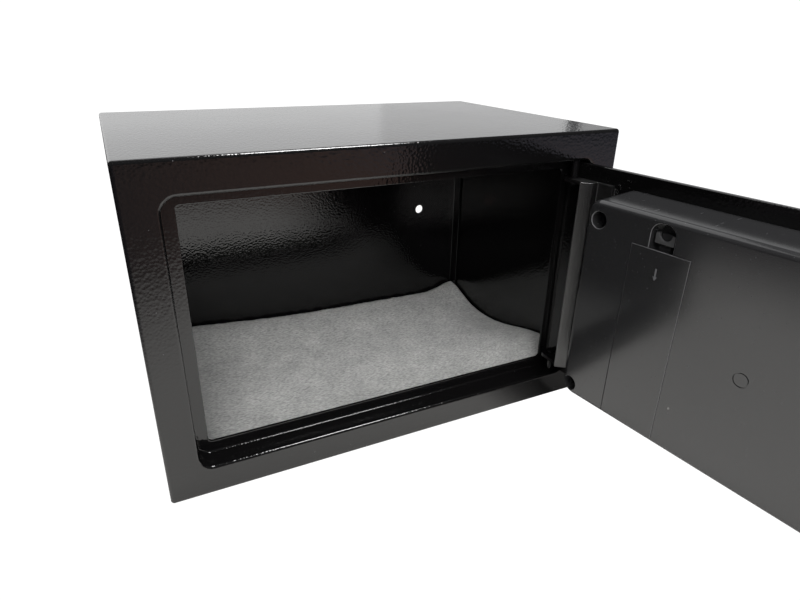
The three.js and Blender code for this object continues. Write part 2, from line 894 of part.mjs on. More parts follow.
// Sliding lid: a piece of the cover's own skin, with a springy tongue that snaps under the thumb recess.
function batteryCover() {
  const skin = coverHull(0).intersect(lidSpace(0)).subtract(coverHull(lidThickness));
  const inner = coverFace - lidThickness;
  const root = block(
    lidCentre - tongueWidth / 2,
    lidCentre + tongueWidth / 2,
    tongueBack,
    inner + lidThickness / 2,
    bay.top - runGap - tongueRoot,
    bay.top - runGap,
  );
  const strip = block(
    lidCentre - tongueWidth / 2,
    lidCentre + tongueWidth / 2,
    tongueBack,
    tongueBack + tongueSheet,
    bay.top - runGap - tongueRoot,
    thumb.bottom + catchGap + catchHeight,
  );
  const catchLow = thumb.bottom + catchGap;
  const catchHigh = catchLow + catchHeight;
  const half = latchWidth / 2;
  const scallop = new THREE.Shape();
  scallop.moveTo(lidCentre - half, catchLow);
  scallop.lineTo(lidCentre + half, catchLow);
  scallop.lineTo(lidCentre + half, catchHigh);
  scallop.lineTo(lidCentre + half - hornWidth, catchHigh);
  scallop.absarc(lidCentre, catchHigh, half - hornWidth, 0, Math.PI, true);
  scallop.lineTo(lidCentre - half, catchHigh);
  const catchPlate = prismY(scallop, tongueBack, tongueBack + tongueSheet + catchLip, 6);
  const arrowTip = lidTop - arrowInset;
  const shaftHalf = arrowHalf / 3;
  const arrow = prismY(
    polygonOutline([
      [lidCentre, arrowTip],
      [lidCentre + arrowHalf, arrowTip + arrowHead],
      [lidCentre + shaftHalf, arrowTip + arrowHead],
      [lidCentre + shaftHalf, arrowTip + arrowLength],
      [lidCentre - shaftHalf, arrowTip + arrowLength],
      [lidCentre - shaftHalf, arrowTip + arrowHead],
      [lidCentre - arrowHalf, arrowTip + arrowHead],
    ]),
    coverFace - lidThickness / 2,
    coverFace + arrowRise,
  );
  return skin.add(root).add(strip).add(catchPlate).add(arrow);
}

const cellPlaces = [-1, 1].map((side) => lidCentre + side * (cellRadius + seamGap));
const cellY = bay.back + seamGap + cellRadius;
const contactLow = bay.bottom + seamGap;
const cellStart = contactLow + contactSheet + seamGap;

function batteryCell(column, row) {
  const base = cellStart + row * (cellLength + seamGap);
  const body = cellLength - cellNubLength;
  const profile = [
    [base, 0],
    [base, cellRadius],
    [base + body, cellRadius],
    [base + body, cellNubRadius],
    [base + cellLength, cellNubRadius],
    [base + cellLength, 0],
  ];
  return turned(profile, axisZ, [cellPlaces[column], cellY, 0], 12);
}

// Sheet metal contact across the end of both cells. The upper one has a raised nose for each cell.
function batteryContact(upper) {
  const low = upper ? bay.top - seamGap - contactSheet : contactLow;
  const left = bay.left + contactMargin;
  const right = bay.right - contactMargin;
  const back = bay.back + contactMargin;
  const front = bay.back + 2 * (cellRadius - contactMargin);
  let plate = block(left, right, back, front, low, low + contactSheet);
  if (upper) {
    const cellEnd = cellStart + 2 * cellLength + seamGap;
    for (const x of cellPlaces) {
      const nose = turned(
        [
          [cellEnd + seamGap, 0],
          [cellEnd + seamGap, contactNoseRadius / 2],
          [low + contactSheet / 2, contactNoseRadius],
          [low + contactSheet / 2, 0],
        ],
        axisZ,
        [x, cellY, 0],
        12,
      );
      plate = plate.add(nose);
    }
  }
  return plate;
}

// Lock work behind the cover

// Angle welded at the free edge of the plate, with a bore for each bolt.
function boltGuide() {
  const left = leaf.left + guideOffset;
  const top = boltHeights.upper + boltRadius + guideEnd;
  const bottom = boltHeights.lower - boltRadius - guideEnd;
  const rise = boltY + guideRise;
  const section = polygonOutline([
    [left, plateBack],
    [left + guideWeldLeg, plateBack],
    [left + guideWeldLeg, plateBack + guideSheet],
    [left + guideSheet, plateBack + guideSheet],
    [left + guideSheet, rise],
    [left, rise],
  ]);
  let guide = prismZ(section, bottom, top);
  for (const z of Object.values(boltHeights)) {
    const cutter = rod(axisX, [0, boltY, z], left - through, left + guideSheet + through,
      boltRadius + seamGap, 28);
    guide = guide.subtract(cutter);
  }
  return guide;
}

// Round steel bolt with a chamfered nose. Its tail is riveted into the carriage.
function lockBolt(z) {
  const shoulder = boltTip + boltLength;
  const rivet = shoulder + 2 * seamGap + carriageSheet;
  const profile = [
    [boltTip, 0],
    [boltTip, boltRadius - boltChamfer],
    [boltTip + boltChamfer, boltRadius],
    [shoulder, boltRadius],
    [shoulder, boltTail],
    [rivet, boltTail],
    [rivet, boltHead],
    [rivet + rivetHead, boltHead - boltChamfer],
    [rivet + rivetHead, 0],
  ];
  return turned(profile, axisX, [0, boltY, z], 20);
}

// Plate that carries both bolts. Two slots run on the guide studs, and the knob's crank works in a third.
function boltCarriage() {
  const low = boltHeights.lower - carriageEar;
  const high = boltHeights.upper + carriageEar;
  const back = carriageY + carriageSheet;
  let plate = block(carriageLeft, carriageRight, carriageY, back, low, high);
  for (const z of Object.values(boltHeights)) {
    const ear = block(
      carriageLeft,
      carriageLeft + carriageSheet,
      carriageY,
      boltY + boltRadius - seamGap,
      z - carriageEar,
      z + carriageEar,
    );
    const hole = rod(axisX, [0, boltY, z], carriageLeft - through,
      carriageLeft + carriageSheet + through, boltTail + seamGap, 20);
    plate = plate.add(ear).subtract(hole);
  }
  const armEnd = solenoidX - plungerRadius - runGap + boltThrow;
  const armLow = armTop - armHeight;
  plate = plate.add(block(carriageRight - through, armEnd, carriageY, back, armLow, armTop));
  const windowLeft = carriageLeft + windowInset;
  const window = roundedOutline(windowLeft, windowLeft + windowWidth,
    middleZ - windowHeight / 2, middleZ + windowHeight / 2, windowCorner);
  plate = plate.subtract(prismY(window, carriageY - through, back + through));
  for (const side of [-1, 1]) {
    const x = knobX - studOffset;
    const z = middleZ + (side * studSpacing) / 2;
    const slot = slotOutline(x, z, x + boltThrow, z, studRadius + runGap);
    plate = plate.subtract(prismY(slot, carriageY - through, back + through, 5));
  }
  const pin = crankPinPlace();
  const slot = slotOutline(pin.x, pin.z, pin.x, middleZ + crankRadius, crankPinRadius + crankSlotGap);
  return plate.subtract(prismY(slot, carriageY - through, back + through, 5));
}

function guideStud(side) {
  const z = middleZ + (side * studSpacing) / 2;
  const over = carriageY + carriageSheet + seamGap;
  const profile = [
    [plateBack, 0],
    [plateBack, studShoulder],
    [carriageY - seamGap, studShoulder],
    [carriageY - seamGap, studRadius],
    [over, studRadius],
    [over, studShoulder + studEase],
    [over + studHead, studShoulder - studEase],
    [over + studHead, 0],
  ];
  return turned(profile, axisY, [knobX - studOffset, 0, z], 16);
}

// With the bolts drawn in, the crank pin stands half of the knob's turn to the hinge side of the top.
function crankPinPlace() {
  const half = THREE.MathUtils.degToRad(knobTurn / 2);
  return { x: knobX + crankRadius * Math.sin(half), z: middleZ + crankRadius * Math.cos(half) };
}

function knobSpindle() {
  const pin = crankPinPlace();
  const armFront = plateBack + bushingFlange + seamGap;
  const armBack = armFront + crankSheet;
  const shaft = rodY(knobX, middleZ, padFront - knobHeight + knobFace, armBack, spindleRadius);
  const arm = prismY(slotOutline(knobX, middleZ, pin.x, pin.z, crankEye), armFront, armBack, 6);
  const crankPin = rodY(pin.x, pin.z, armFront, carriageY + carriageSheet + crankPinOver, crankPinRadius, 16);
  return shaft.add(arm).add(crankPin);
}

function spindleBushing() {
  const bore = spindleRadius + runGap / 2;
  const outer = spindleRadius + runGap + bushingWall;
  const front = -seamGap / 2;
  const profile = [
    [front, bore],
    [front, outer],
    [plateBack, outer],
    [plateBack, outer + bushingFlangeWidth],
    [plateBack + bushingFlange, outer + bushingFlangeWidth],
    [plateBack + bushingFlange, bore],
    [front, bore],
  ];
  return turned(profile, axisY, [knobX, 0, middleZ], 16);
}

// Round knob with a straight grip across its face, blind-bored for the spindle.
function doorKnob() {
  const back = padFront - seamGap;
  const front = back - knobHeight;
  const disc = back - (knobHeight - knobGripHeight);
  const body = turned(
    [
      [disc, 0],
      [disc, knobRadius - knobEase],
      [disc + knobEase, knobRadius],
      [back, knobRadius],
      [back, 0],
    ],
    axisY,
    [knobX, 0, middleZ],
    32,
  );
  const half = knobRadius - knobGripInset;
  const grip = roundedOutline(knobX - knobGrip / 2, knobX + knobGrip / 2, middleZ - half, middleZ + half,
    knobGripCorner);
  const bore = rodY(knobX, middleZ, front + knobFace, back + through, spindleRadius + seamGap);
  return body.add(prismY(grip, front, disc + through)).subtract(bore);
}

// Key override

function keyCylinder() {
  const lipFront = padFront - seamGap - cylinderLip;
  const profile = [
    [lipFront, plugRadius + runGap],
    [lipFront, cylinderRadius + cylinderLipWidth],
    [padFront - seamGap, cylinderRadius + cylinderLipWidth],
    [padFront - seamGap, cylinderRadius],
    [cylinderDepth, cylinderRadius],
    [cylinderDepth, plugRadius + runGap],
    [lipFront, plugRadius + runGap],
  ];
  return turned(profile, axisY, [keyX, 0, keyZ], 20);
}

function cylinderNut() {
  const corner = nutAcross / Math.sqrt(3);
  const hexagon = Array.from({ length: 6 }, (_, i) => {
    const angle = (i * Math.PI) / 3;
    return [keyX + corner * Math.cos(angle), keyZ + corner * Math.sin(angle)];
  });
  const nutBack = plateBack + nutThickness;
  const nut = prismY(polygonOutline(hexagon), plateBack, nutBack);
  return nut.subtract(rodY(keyX, keyZ, 0, nutBack + through, cylinderRadius + seamGap, 24));
}

// Plug with its key slot, and the cam on its back that lifts the solenoid's plunger.
function keyPlug() {
  const lipFront = padFront - seamGap - cylinderLip;
  const camFront = cylinderDepth + runGap * 2;
  const plug = rodY(keyX, keyZ, lipFront, camFront + camSheet, plugRadius, 24);
  const half = camWidth / 2;
  const arm = slotOutline(keyX, keyZ, keyX, keyZ - camLength + half, half);
  const cam = prismY(arm, camFront, camFront + camSheet, 5);
  const slot = block(keyX - keySlotWidth / 2, keyX + keySlotWidth / 2, lipFront - through,
    lipFront + keySlotDepth, keyZ - keySlotHeight / 2, keyZ + keySlotHeight / 2);
  return plug.add(cam).subtract(slot);
}

// Teardrop shutter that hangs over the keyhole and swings aside on its pin.
function keyholeShutter() {
  const back = padFront - seamGap * 2 - cylinderLip;
  const front = back - shutterSheet;
  const pivotZ = keyZ + shutterArm;
  const disc = rodY(keyX, keyZ, front, back, shutterRadius, 28);
  const eye = rodY(keyX, pivotZ, front, back, shutterEye);
  const web = block(keyX - shutterEye, keyX + shutterEye, front, back, keyZ, pivotZ);
  const hub = rodY(keyX, pivotZ, back - through, padFront - seamGap, shutterHub);
  const pin = rodY(keyX, pivotZ, back - through, panelBack + shutterPinReach, shutterPin, 12);
  return disc.add(eye).add(web).add(hub).add(pin);
}

// Solenoid and its plunger, which drops behind the carriage's arm once the bolts are out

const frameLow = collarBottom + collarThickness + springLength + 2 * seamGap;
const coilLow = frameLow + solenoidSheet + seamGap;
const coilHigh = coilLow + coilLength;

function solenoidFrame() {
  const half = coilRadius + solenoidMargin;
  const high = coilHigh + seamGap + solenoidSheet;
  const front = solenoidY + coilRadius + solenoidLip;
  const [left, right] = [solenoidX - half, solenoidX + half];
  const back = block(left, right, plateBack, plateBack + solenoidSheet, frameLow, high);
  const low = block(left, right, plateBack, front, frameLow, frameLow + solenoidSheet);
  const top = block(left, right, plateBack, front, high - solenoidSheet, high);
  const hole = rod(axisZ, [solenoidX, solenoidY, 0], frameLow - through, frameLow + solenoidSheet + through,
    plungerRadius + runGap);
  return back.add(low).add(top).subtract(hole);
}

// Bobbin with its winding: two cheeks and a slightly slimmer waist, bored for the plunger.
function solenoidCoil() {
  const waist = coilRadius - coilWaist;
  const bore = plungerRadius + runGap;
  const profile = [
    [coilLow, bore],
    [coilLow, coilRadius],
    [coilLow + coilCheek, coilRadius],
    [coilLow + coilCheek, waist],
    [coilHigh - coilCheek, waist],
    [coilHigh - coilCheek, coilRadius],
    [coilHigh, coilRadius],
    [coilHigh, bore],
    [coilLow, bore],
  ];
  return turned(profile, axisZ, [solenoidX, solenoidY, 0], 24);
}

function solenoidPlunger() {
  const top = coilHigh - plungerStroke - plungerHeadroom;
  const profile = [
    [plungerTip, 0],
    [plungerTip, plungerRadius],
    [collarBottom, plungerRadius],
    [collarBottom, plungerCollar],
    [collarBottom + collarThickness, plungerCollar],
    [collarBottom + collarThickness, plungerRadius],
    [top, plungerRadius],
    [top, 0],
  ];
  return turned(profile, axisZ, [solenoidX, solenoidY, 0], 20);
}

// Return spring round the plunger, between its collar and the frame.
class Helix extends THREE.Curve {
  constructor(x, y, low, length, radius, turns) {
    super();
    Object.assign(this, { x, y, low, length, radius, turns });
  }
  getPoint(t) {
    const angle = t * this.turns * Math.PI * 2;
    return new THREE.Vector3(
      this.x + this.radius * Math.cos(angle),
      this.y + this.radius * Math.sin(angle),
      this.low + this.length * t,
    );
  }
}

function plungerSpring() {
  const endReach = springWire * 0.6;
  const low = collarBottom + collarThickness + seamGap + endReach;
  const radius = plungerRadius + runGap + springWire / 2 + springPlay;
  const helix = new Helix(solenoidX, solenoidY, low, springLength - 2 * endReach, radius, springTurns);
  return tubeAlong(helix, springWire / 2, springTurns * 8, 6);
}

// Keypad on the front of the door

const buttonsRight = keyX + buttonPitchX + buttonWidth / 2;
const padBox = {
  left: knobX - knobRadius - padKnobMargin,
  right: buttonsRight + boardMargin + padSideGap + padWall,
  bottom: middleZ - padHeight / 2,
  top: middleZ + padHeight / 2,
};
const buttonPlaces = [];
const buttonNames = ["1", "2", "3", "4", "5", "6", "7", "8", "9", "clear", "0", "enter"];
buttonNames.forEach((name, i) => {
  buttonPlaces.push({
    name,
    x: keyX + ((i % 3) - 1) * buttonPitchX,
    z: padBox.top - buttonTopInset - Math.floor(i / 3) * buttonPitchZ,
  });
});
const lampPlaces = ["green", "yellow", "red"].map((colour, i) => ({
  colour,
  x: knobX + (i - 1) * lampPitch,
  z: padBox.top - lampInset,
}));
const board = {
  left: keyX - buttonPitchX - buttonWidth / 2 - boardMargin,
  right: buttonsRight + boardMargin,
  bottom: padBox.top - buttonTopInset - 3 * buttonPitchZ - buttonHeight / 2 - boardGap,
  top: padBox.top - padWall - boardGap,
  front: padFront + boardDepth,
};

function buttonOutline(place, grow) {
  return roundedOutline(
    place.x - buttonWidth / 2 - grow,
    place.x + buttonWidth / 2 + grow,
    place.z - buttonHeight / 2 - grow,
    place.z + buttonHeight / 2 + grow,
    buttonCorner,
  );
}

// Moulded housing, open at the back, with posts for the circuit board.
function keypadHousing() {
  const steps = 4;
  const round = quarterRound(padEdgeRound, 3).map(([rise, inset]) =>
    level(padFront + padEdgeRound - rise, padBox, inset, padCorner - inset, steps),
  );
  let housing = loft([
    ...round.reverse(),
    level(padFront + padEdgeRound, padBox, 0, padCorner, steps),
    level(-seamGap, padBox, 0, padCorner, steps),
  ]);
  const hollow = loft([
    level(panelBack, padBox, padWall, padCorner - padWall, steps),
    level(through, padBox, padWall, padCorner - padWall, steps),
  ]);
  housing = housing.subtract(hollow);
  const postTop = board.front - seamGap;
  for (const x of [board.left + boardPostInset, board.right - boardPostInset]) {
    for (const z of [board.bottom + boardPostInset, board.top - boardPostInset]) {
      housing = housing.add(rodY(x, z, panelBack - padWall / 2, postTop, boardPostRadius, 8));
    }
  }
  for (const place of buttonPlaces) {
    const hole = prismY(buttonOutline(place, buttonGap), padFront - through, panelBack + through, 1);
    housing = housing.subtract(hole);
  }
  for (const lamp of lampPlaces) {
    const hole = rodY(lamp.x, lamp.z, padFront - through, panelBack + through, lampRadius + seamGap, 8);
    housing = housing.subtract(hole);
  }
  const spindle = rodY(knobX, middleZ, padFront - through, panelBack + through, spindleRadius + runGap);
  const cylinder = rodY(keyX, keyZ, padFront - through, panelBack + through, cylinderRadius + seamGap, 28);
  const shutter = rodY(keyX, keyZ + shutterArm, padFront - through, panelBack + through,
    shutterPin + runGap / 2, 12);
  return housing.subtract(spindle).subtract(cylinder).subtract(shutter);
}

// Rubber-feel button: its cap stands out of the panel and a flange behind the panel keeps it in.
function keypadButton(place) {
  const capBack = board.front - buttonTravel - runGap;
  const cap = prismY(buttonOutline(place, 0), padFront - buttonRise, capBack, 1);
  const flangeFront = panelBack + seamGap;
  const flangeBack = flangeFront + buttonFlangeSheet;
  return cap.add(prismY(buttonOutline(place, buttonFlange), flangeFront, flangeBack, 1));
}

function lampLens(lamp) {
  const flangeFront = panelBack + seamGap;
  const profile = [
    [padFront - lampDome, 0],
    [padFront - lampDome * 0.6, lampRadius * 0.8],
    [padFront, lampRadius],
    [flangeFront, lampRadius],
    [flangeFront, lampRadius + lampFlange],
    [flangeFront + lampFlangeSheet, lampRadius + lampFlange],
    [flangeFront + lampFlangeSheet, 0],
  ];
  return turned(profile, axisY, [lamp.x, 0, lamp.z], 8);
}

function circuitBoard() {
  const outline = roundedOutline(board.left, board.right, board.bottom, board.top, boardCorner);
  return prismY(outline, board.front, board.front + boardSheet, 1);
}

// Two pairs of wires held inside the door, from the board to the battery bay and to the solenoid.
function batteryLead() {
  const bayEnd = bay.left - bayWall - seamGap;
  const path = new THREE.CatmullRomCurve3([
    new THREE.Vector3(wireHoleX + leadPitch, board.front + boardSheet + seamGap, wireHoleZ),
    new THREE.Vector3(wireHoleX + leadPitch, plateBack + 1, wireHoleZ),
    new THREE.Vector3(wireHoleX + leadPitch + 1, plateBack + 9, wireHoleZ),
    new THREE.Vector3(bayEnd - 4, plateBack + 14, wireHoleZ),
    new THREE.Vector3(bayEnd, plateBack + 14, wireHoleZ),
  ]);
  return tubeAlong(path, leadRadius, 14, 8);
}

function solenoidLead() {
  const path = new THREE.CatmullRomCurve3([
    new THREE.Vector3(wireHoleX - leadPitch, board.front + boardSheet + seamGap, wireHoleZ),
    new THREE.Vector3(wireHoleX - leadPitch, plateBack - 1, wireHoleZ),
    new THREE.Vector3(wireHoleX - 3, plateBack + 3.5, wireHoleZ - 2),
    new THREE.Vector3(wireHoleX - 14, plateBack + 6, coilHigh - 8),
    new THREE.Vector3(solenoidX + coilRadius + 4, solenoidY, coilHigh - 9),
    new THREE.Vector3(solenoidX + coilRadius - coilWaist + seamGap, solenoidY, coilHigh - 9),
  ]);
  return tubeAlong(path, leadRadius * 0.8, 18, 8);
}

// Materials

function material(color, roughness, metalness) {
  return new THREE.MeshStandardMaterial({ color, roughness, metalness, flatShading: true });
}

const powderCoat = material(0x0b0b0c, 0.38, 0.3);
const felt = material(0x9a9a98, 0.95, 0);
const mouldedGrey = material(0x3a3b3d, 0.45, 0);
const blackPlastic = material(0x121213, 0.4, 0);
const zincSteel = material(0x9b9d9f, 0.35, 0.9);
const copper = material(0x8a4a22, 0.4, 0.8);
const boardGreen = material(0x1d5a33, 0.5, 0);
const cellBlue = material(0x2a3f66, 0.4, 0.3);
const wireRed = material(0x8c1f1a, 0.5, 0);
const buttonGrey = material(0xb9babc, 0.5, 0);
const lamps = {
  green: material(0x1f8a3a, 0.2, 0),
  yellow: material(0xb8901c, 0.2, 0),
  red: material(0xa81f1c, 0.2, 0),
};

// Assembly

function part(name, solid, finish) {
  const mesh = new THREE.Mesh(geometryOf(solid), finish);
  mesh.name = name;
  return mesh;
}

const safe = new THREE.Group();
const body = new THREE.Group();
body.position.set(-bodyWidth / 2, -bodyDepth / 2, 0);
safe.add(body);
body.add(
  part("body_shell", bodyShell(), powderCoat),
  part("door_frame", doorFrame(), powderCoat),
  part("back_panel", backPanel(), powderCoat),
  part("floor_mat", floorMat(), felt),
);

const swing = new THREE.Group();
swing.position.set(hingeX, hingeY, 0);
swing.rotation.z = THREE.MathUtils.degToRad(openAngle);
body.add(swing);
const door = new THREE.Group();
door.position.set(-hingeX, -hingeY, 0);
swing.add(door);
door.add(
  part("door_plate", doorLeaf(), powderCoat),
  part("hinge_bracket", hingeBracket(), powderCoat),
  part("hinge_pin_top", hingePin(true), powderCoat),
  part("hinge_pin_bottom", hingePin(false), powderCoat),
  part("inner_cover", innerCover(), mouldedGrey),
  part("battery_cover", batteryCover(), mouldedGrey),
  part("battery_contact_top", batteryContact(true), zincSteel),
  part("battery_contact_bottom", batteryContact(false), zincSteel),
  part("bolt_guide", boltGuide(), zincSteel),
  part("bolt_carriage", boltCarriage(), zincSteel),
  part("lock_bolt_upper", lockBolt(boltHeights.upper), zincSteel),
  part("lock_bolt_lower", lockBolt(boltHeights.lower), zincSteel),
  part("guide_stud_upper", guideStud(1), zincSteel),
  part("guide_stud_lower", guideStud(-1), zincSteel),
  part("knob_spindle", knobSpindle(), zincSteel),
  part("spindle_bushing", spindleBushing(), zincSteel),
  part("door_knob", doorKnob(), blackPlastic),
  part("key_cylinder", keyCylinder(), zincSteel),
  part("key_cylinder_nut", cylinderNut(), zincSteel),
  part("key_plug", keyPlug(), zincSteel),
  part("keyhole_shutter", keyholeShutter(), blackPlastic),
  part("solenoid_frame", solenoidFrame(), zincSteel),
  part("solenoid_coil", solenoidCoil(), copper),
  part("solenoid_plunger", solenoidPlunger(), zincSteel),
  part("plunger_spring", plungerSpring(), zincSteel),
  part("keypad_housing", keypadHousing(), blackPlastic),
  part("circuit_board", circuitBoard(), boardGreen),
  part("battery_lead", batteryLead(), wireRed),
  part("solenoid_lead", solenoidLead(), wireRed),
);
screwPlaces.forEach((place, i) => door.add(part(`cover_screw_${i + 1}`, coverScrew(place), zincSteel)));
for (let i = 0; i < 4; i++) {
  door.add(part(`battery_cell_${i + 1}`, batteryCell(i % 2, Math.floor(i / 2)), cellBlue));
}
for (const place of buttonPlaces) {
  door.add(part(`button_${place.name}`, keypadButton(place), buttonGrey));
}
for (const lamp of lampPlaces) door.add(part(`lamp_${lamp.colour}`, lampLens(lamp), lamps[lamp.colour]));

export default safe;
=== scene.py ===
import json
import math

import bmesh
import bpy
from mathutils import Matrix, Vector, noise


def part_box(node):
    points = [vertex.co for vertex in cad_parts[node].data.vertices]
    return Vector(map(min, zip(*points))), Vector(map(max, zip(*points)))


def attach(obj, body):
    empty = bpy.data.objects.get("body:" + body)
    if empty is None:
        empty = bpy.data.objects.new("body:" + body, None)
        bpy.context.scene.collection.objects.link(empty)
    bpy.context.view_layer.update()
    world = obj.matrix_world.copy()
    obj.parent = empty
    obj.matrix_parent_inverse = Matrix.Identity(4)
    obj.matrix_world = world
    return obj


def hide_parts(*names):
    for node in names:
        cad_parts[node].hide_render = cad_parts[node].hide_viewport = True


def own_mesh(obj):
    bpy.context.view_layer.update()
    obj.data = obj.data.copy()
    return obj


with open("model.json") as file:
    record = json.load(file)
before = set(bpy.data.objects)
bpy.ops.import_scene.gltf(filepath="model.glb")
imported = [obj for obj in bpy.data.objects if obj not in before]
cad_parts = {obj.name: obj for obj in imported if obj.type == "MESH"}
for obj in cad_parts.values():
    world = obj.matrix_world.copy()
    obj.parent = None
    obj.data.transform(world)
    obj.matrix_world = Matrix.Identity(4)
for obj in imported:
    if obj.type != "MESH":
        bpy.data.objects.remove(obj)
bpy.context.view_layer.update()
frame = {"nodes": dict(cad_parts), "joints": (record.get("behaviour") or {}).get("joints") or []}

# Camera.
# A phone held in front of the left side of the safe, a little above its top, looking down to the right.
# Its place was worked out from the straight edges of the steel body.
picture_width = 800
focal_pixels = 579.5
sensor_width = 36
camera_place = Vector((-0.1541, -0.3918, 0.2513))
yaw, pitch, roll = (math.radians(angle) for angle in (26.70, 24.12, 0.97))
ahead = Vector((math.sin(yaw) * math.cos(pitch), math.cos(yaw) * math.cos(pitch), -math.sin(pitch)))
level = Vector((math.cos(yaw), -math.sin(yaw), 0))
upward = level.cross(ahead)
right = level * math.cos(roll) + upward * math.sin(roll)
up = upward * math.cos(roll) - level * math.sin(roll)


def linked(name, data):
    """A new object in the scene, with that data."""
    made = bpy.data.objects.new(name, data)
    bpy.context.scene.collection.objects.link(made)
    return made


camera_data = bpy.data.cameras.new("phone")
camera_data.sensor_width = sensor_width
camera_data.lens = focal_pixels / picture_width * sensor_width
camera_data.clip_start = 0.01
camera = linked("phone", camera_data)
camera.matrix_world = Matrix.Translation(camera_place) @ Matrix((right, up, -ahead)).transposed().to_4x4()
bpy.context.scene.camera = camera

# Studio.
# The safe stands on a pale table in a dim room, under one square lamp up to the right. Two fills without
# gloss light its front, and pale walls and a ceiling behind it and to its right show in its paint. The
# table's colour is a painted pool of light that fades from pale near the safe into dark, warm and cool
# painted room colours, with a painted shadow round the foot of the door. The camera sees table and room as
# plain white paper.
table_reach = 30
painted_light_pool_middle, painted_door_shadow_centre = (-0.03, -0.12, 0), (0.15, -0.12, 0)
table_tone = (0.67, 0.66, 0.64)
room_left, room_right = -0.3, 1.3
paper_glow = 1.1


def node(tree, kind, sources=None, **settings):
    """A node with its settings, its inputs set to a value or joined to another node's output."""
    made = tree.nodes.new(kind)
    for name, value in settings.items():
        setattr(made, name, value)
    for socket, source in (sources or {}).items():
        if isinstance(source, bpy.types.NodeSocket):
            tree.links.new(source, made.inputs[socket])
        else:
            made.inputs[socket].default_value = source
    return made


def calculated(tree, operation, *values, kind="Math", output=0):
    """One step of arithmetic on numbers, or with the kind VectorMath on vectors."""
    return node(tree, "ShaderNode" + kind, dict(enumerate(values)), operation=operation).outputs[output]


def ranged(tree, value, low, high, to_low=0, to_high=1, **settings):
    """A value brought from one range into another."""
    limits = {"Value": value, "From Min": low, "From Max": high, "To Min": to_low, "To Max": to_high}
    return node(tree, "ShaderNodeMapRange", limits, **settings).outputs[0]


def mixed(tree, factor, *colours):
    """A colour between two, each of them a tuple or another node's output."""
    first, second = ((*colour, 1) if isinstance(colour, tuple) else colour for colour in colours)
    return node(tree, "ShaderNodeMix", {"Factor": factor, 6: first, 7: second}, data_type="RGBA").outputs[2]


def plain_material(name, colour, roughness, numbers=None):
    """A material, its tree and the place on the object. The numbers set the shader's other sockets."""
    material = bpy.data.materials.new(name)
    material.use_nodes = True
    tree = material.node_tree
    values = {"Base Color": (*colour, 1), "Roughness": roughness, **(numbers or {})}
    for socket, value in values.items():
        tree.nodes["Principled BSDF"].inputs[socket].default_value = value
    return material, tree, node(tree, "ShaderNodeTexCoord").outputs["Object"]


def feed(tree, sources):
    """Joins other nodes' outputs to the shader's inputs."""
    for socket, source in sources.items():
        tree.links.new(source, tree.nodes["Principled BSDF"].inputs[socket])


def paper_to_camera(tree, kind, shade):
    """White paper, made by that kind of shader, to the camera, and the given shade to every other ray."""
    seen = node(tree, "ShaderNodeLightPath").outputs["Is Camera Ray"]
    paper = node(tree, kind, {"Color": (1, 1, 1, 1), "Strength": paper_glow})
    return node(tree, "ShaderNodeMixShader", {0: seen, 1: shade, 2: paper.outputs[0]}).outputs[0]


def soft_box(name, place, target, size, radiance, gloss=True):
    """An area light of that size in metres, hidden from the camera. Its gloss can be turned off too."""
    data = bpy.data.lights.new(name, "AREA")
    data.shape = "RECTANGLE"
    data.size, data.size_y = size
    data.energy = radiance * math.pi * size[0] * size[1]
    light = linked(name, data)
    aim = (Vector(target) - Vector(place)).to_track_quat("-Z", "Y")
    light.matrix_world = Matrix.Translation(place) @ aim.to_matrix().to_4x4()
    light.visible_camera = False
    light.visible_glossy = gloss


def table_top():
    """A table coloured as a painted pool of light fading into painted room colours, with a painted shadow
    round the foot of the door.
    """
    material, tree, place = plain_material("table_top", (0.8, 0.8, 0.8), 0.9, {"Specular IOR Level": 0.1})

    def beyond(middle, near, far, nearest):
        reach = calculated(tree, "DISTANCE", place, middle, kind="VectorMath", output="Value")
        return ranged(tree, reach, near, far, nearest, 1, interpolation_type="SMOOTHSTEP")

    across = node(tree, "ShaderNodeSeparateXYZ", {0: place}).outputs["X"]
    # Painted room colours on the far table, dark, then warm, then cool from left to right, standing in for
    # the room seen in reflections.
    room = node(tree, "ShaderNodeValToRGB", {"Fac": ranged(tree, across, room_left, room_right)})
    room.color_ramp.elements[0].color = (0.035, 0.032, 0.036, 1)
    room.color_ramp.elements[1].color = (0.36, 0.37, 0.45, 1)
    room.color_ramp.elements.new(0.36).color = (0.19, 0.12, 0.1, 1)
    # Painted pool of light: pale round the middle, fading into the painted room colours further off.
    tone = mixed(tree, beyond(painted_light_pool_middle, 0.13, 0.48, 0), table_tone, room.outputs["Color"])
    # Painted shadow: the table is darkened round the foot of the door.
    shaded = calculated(tree, "MULTIPLY", tone, beyond(painted_door_shadow_centre, 0.04, 0.08, 0.3), kind="VectorMath")
    feed(tree, {"Base Color": shaded})
    surface = paper_to_camera(tree, "ShaderNodeEmission", tree.nodes["Principled BSDF"].outputs[0])
    tree.links.new(surface, tree.nodes["Material Output"].inputs["Surface"])
    return material


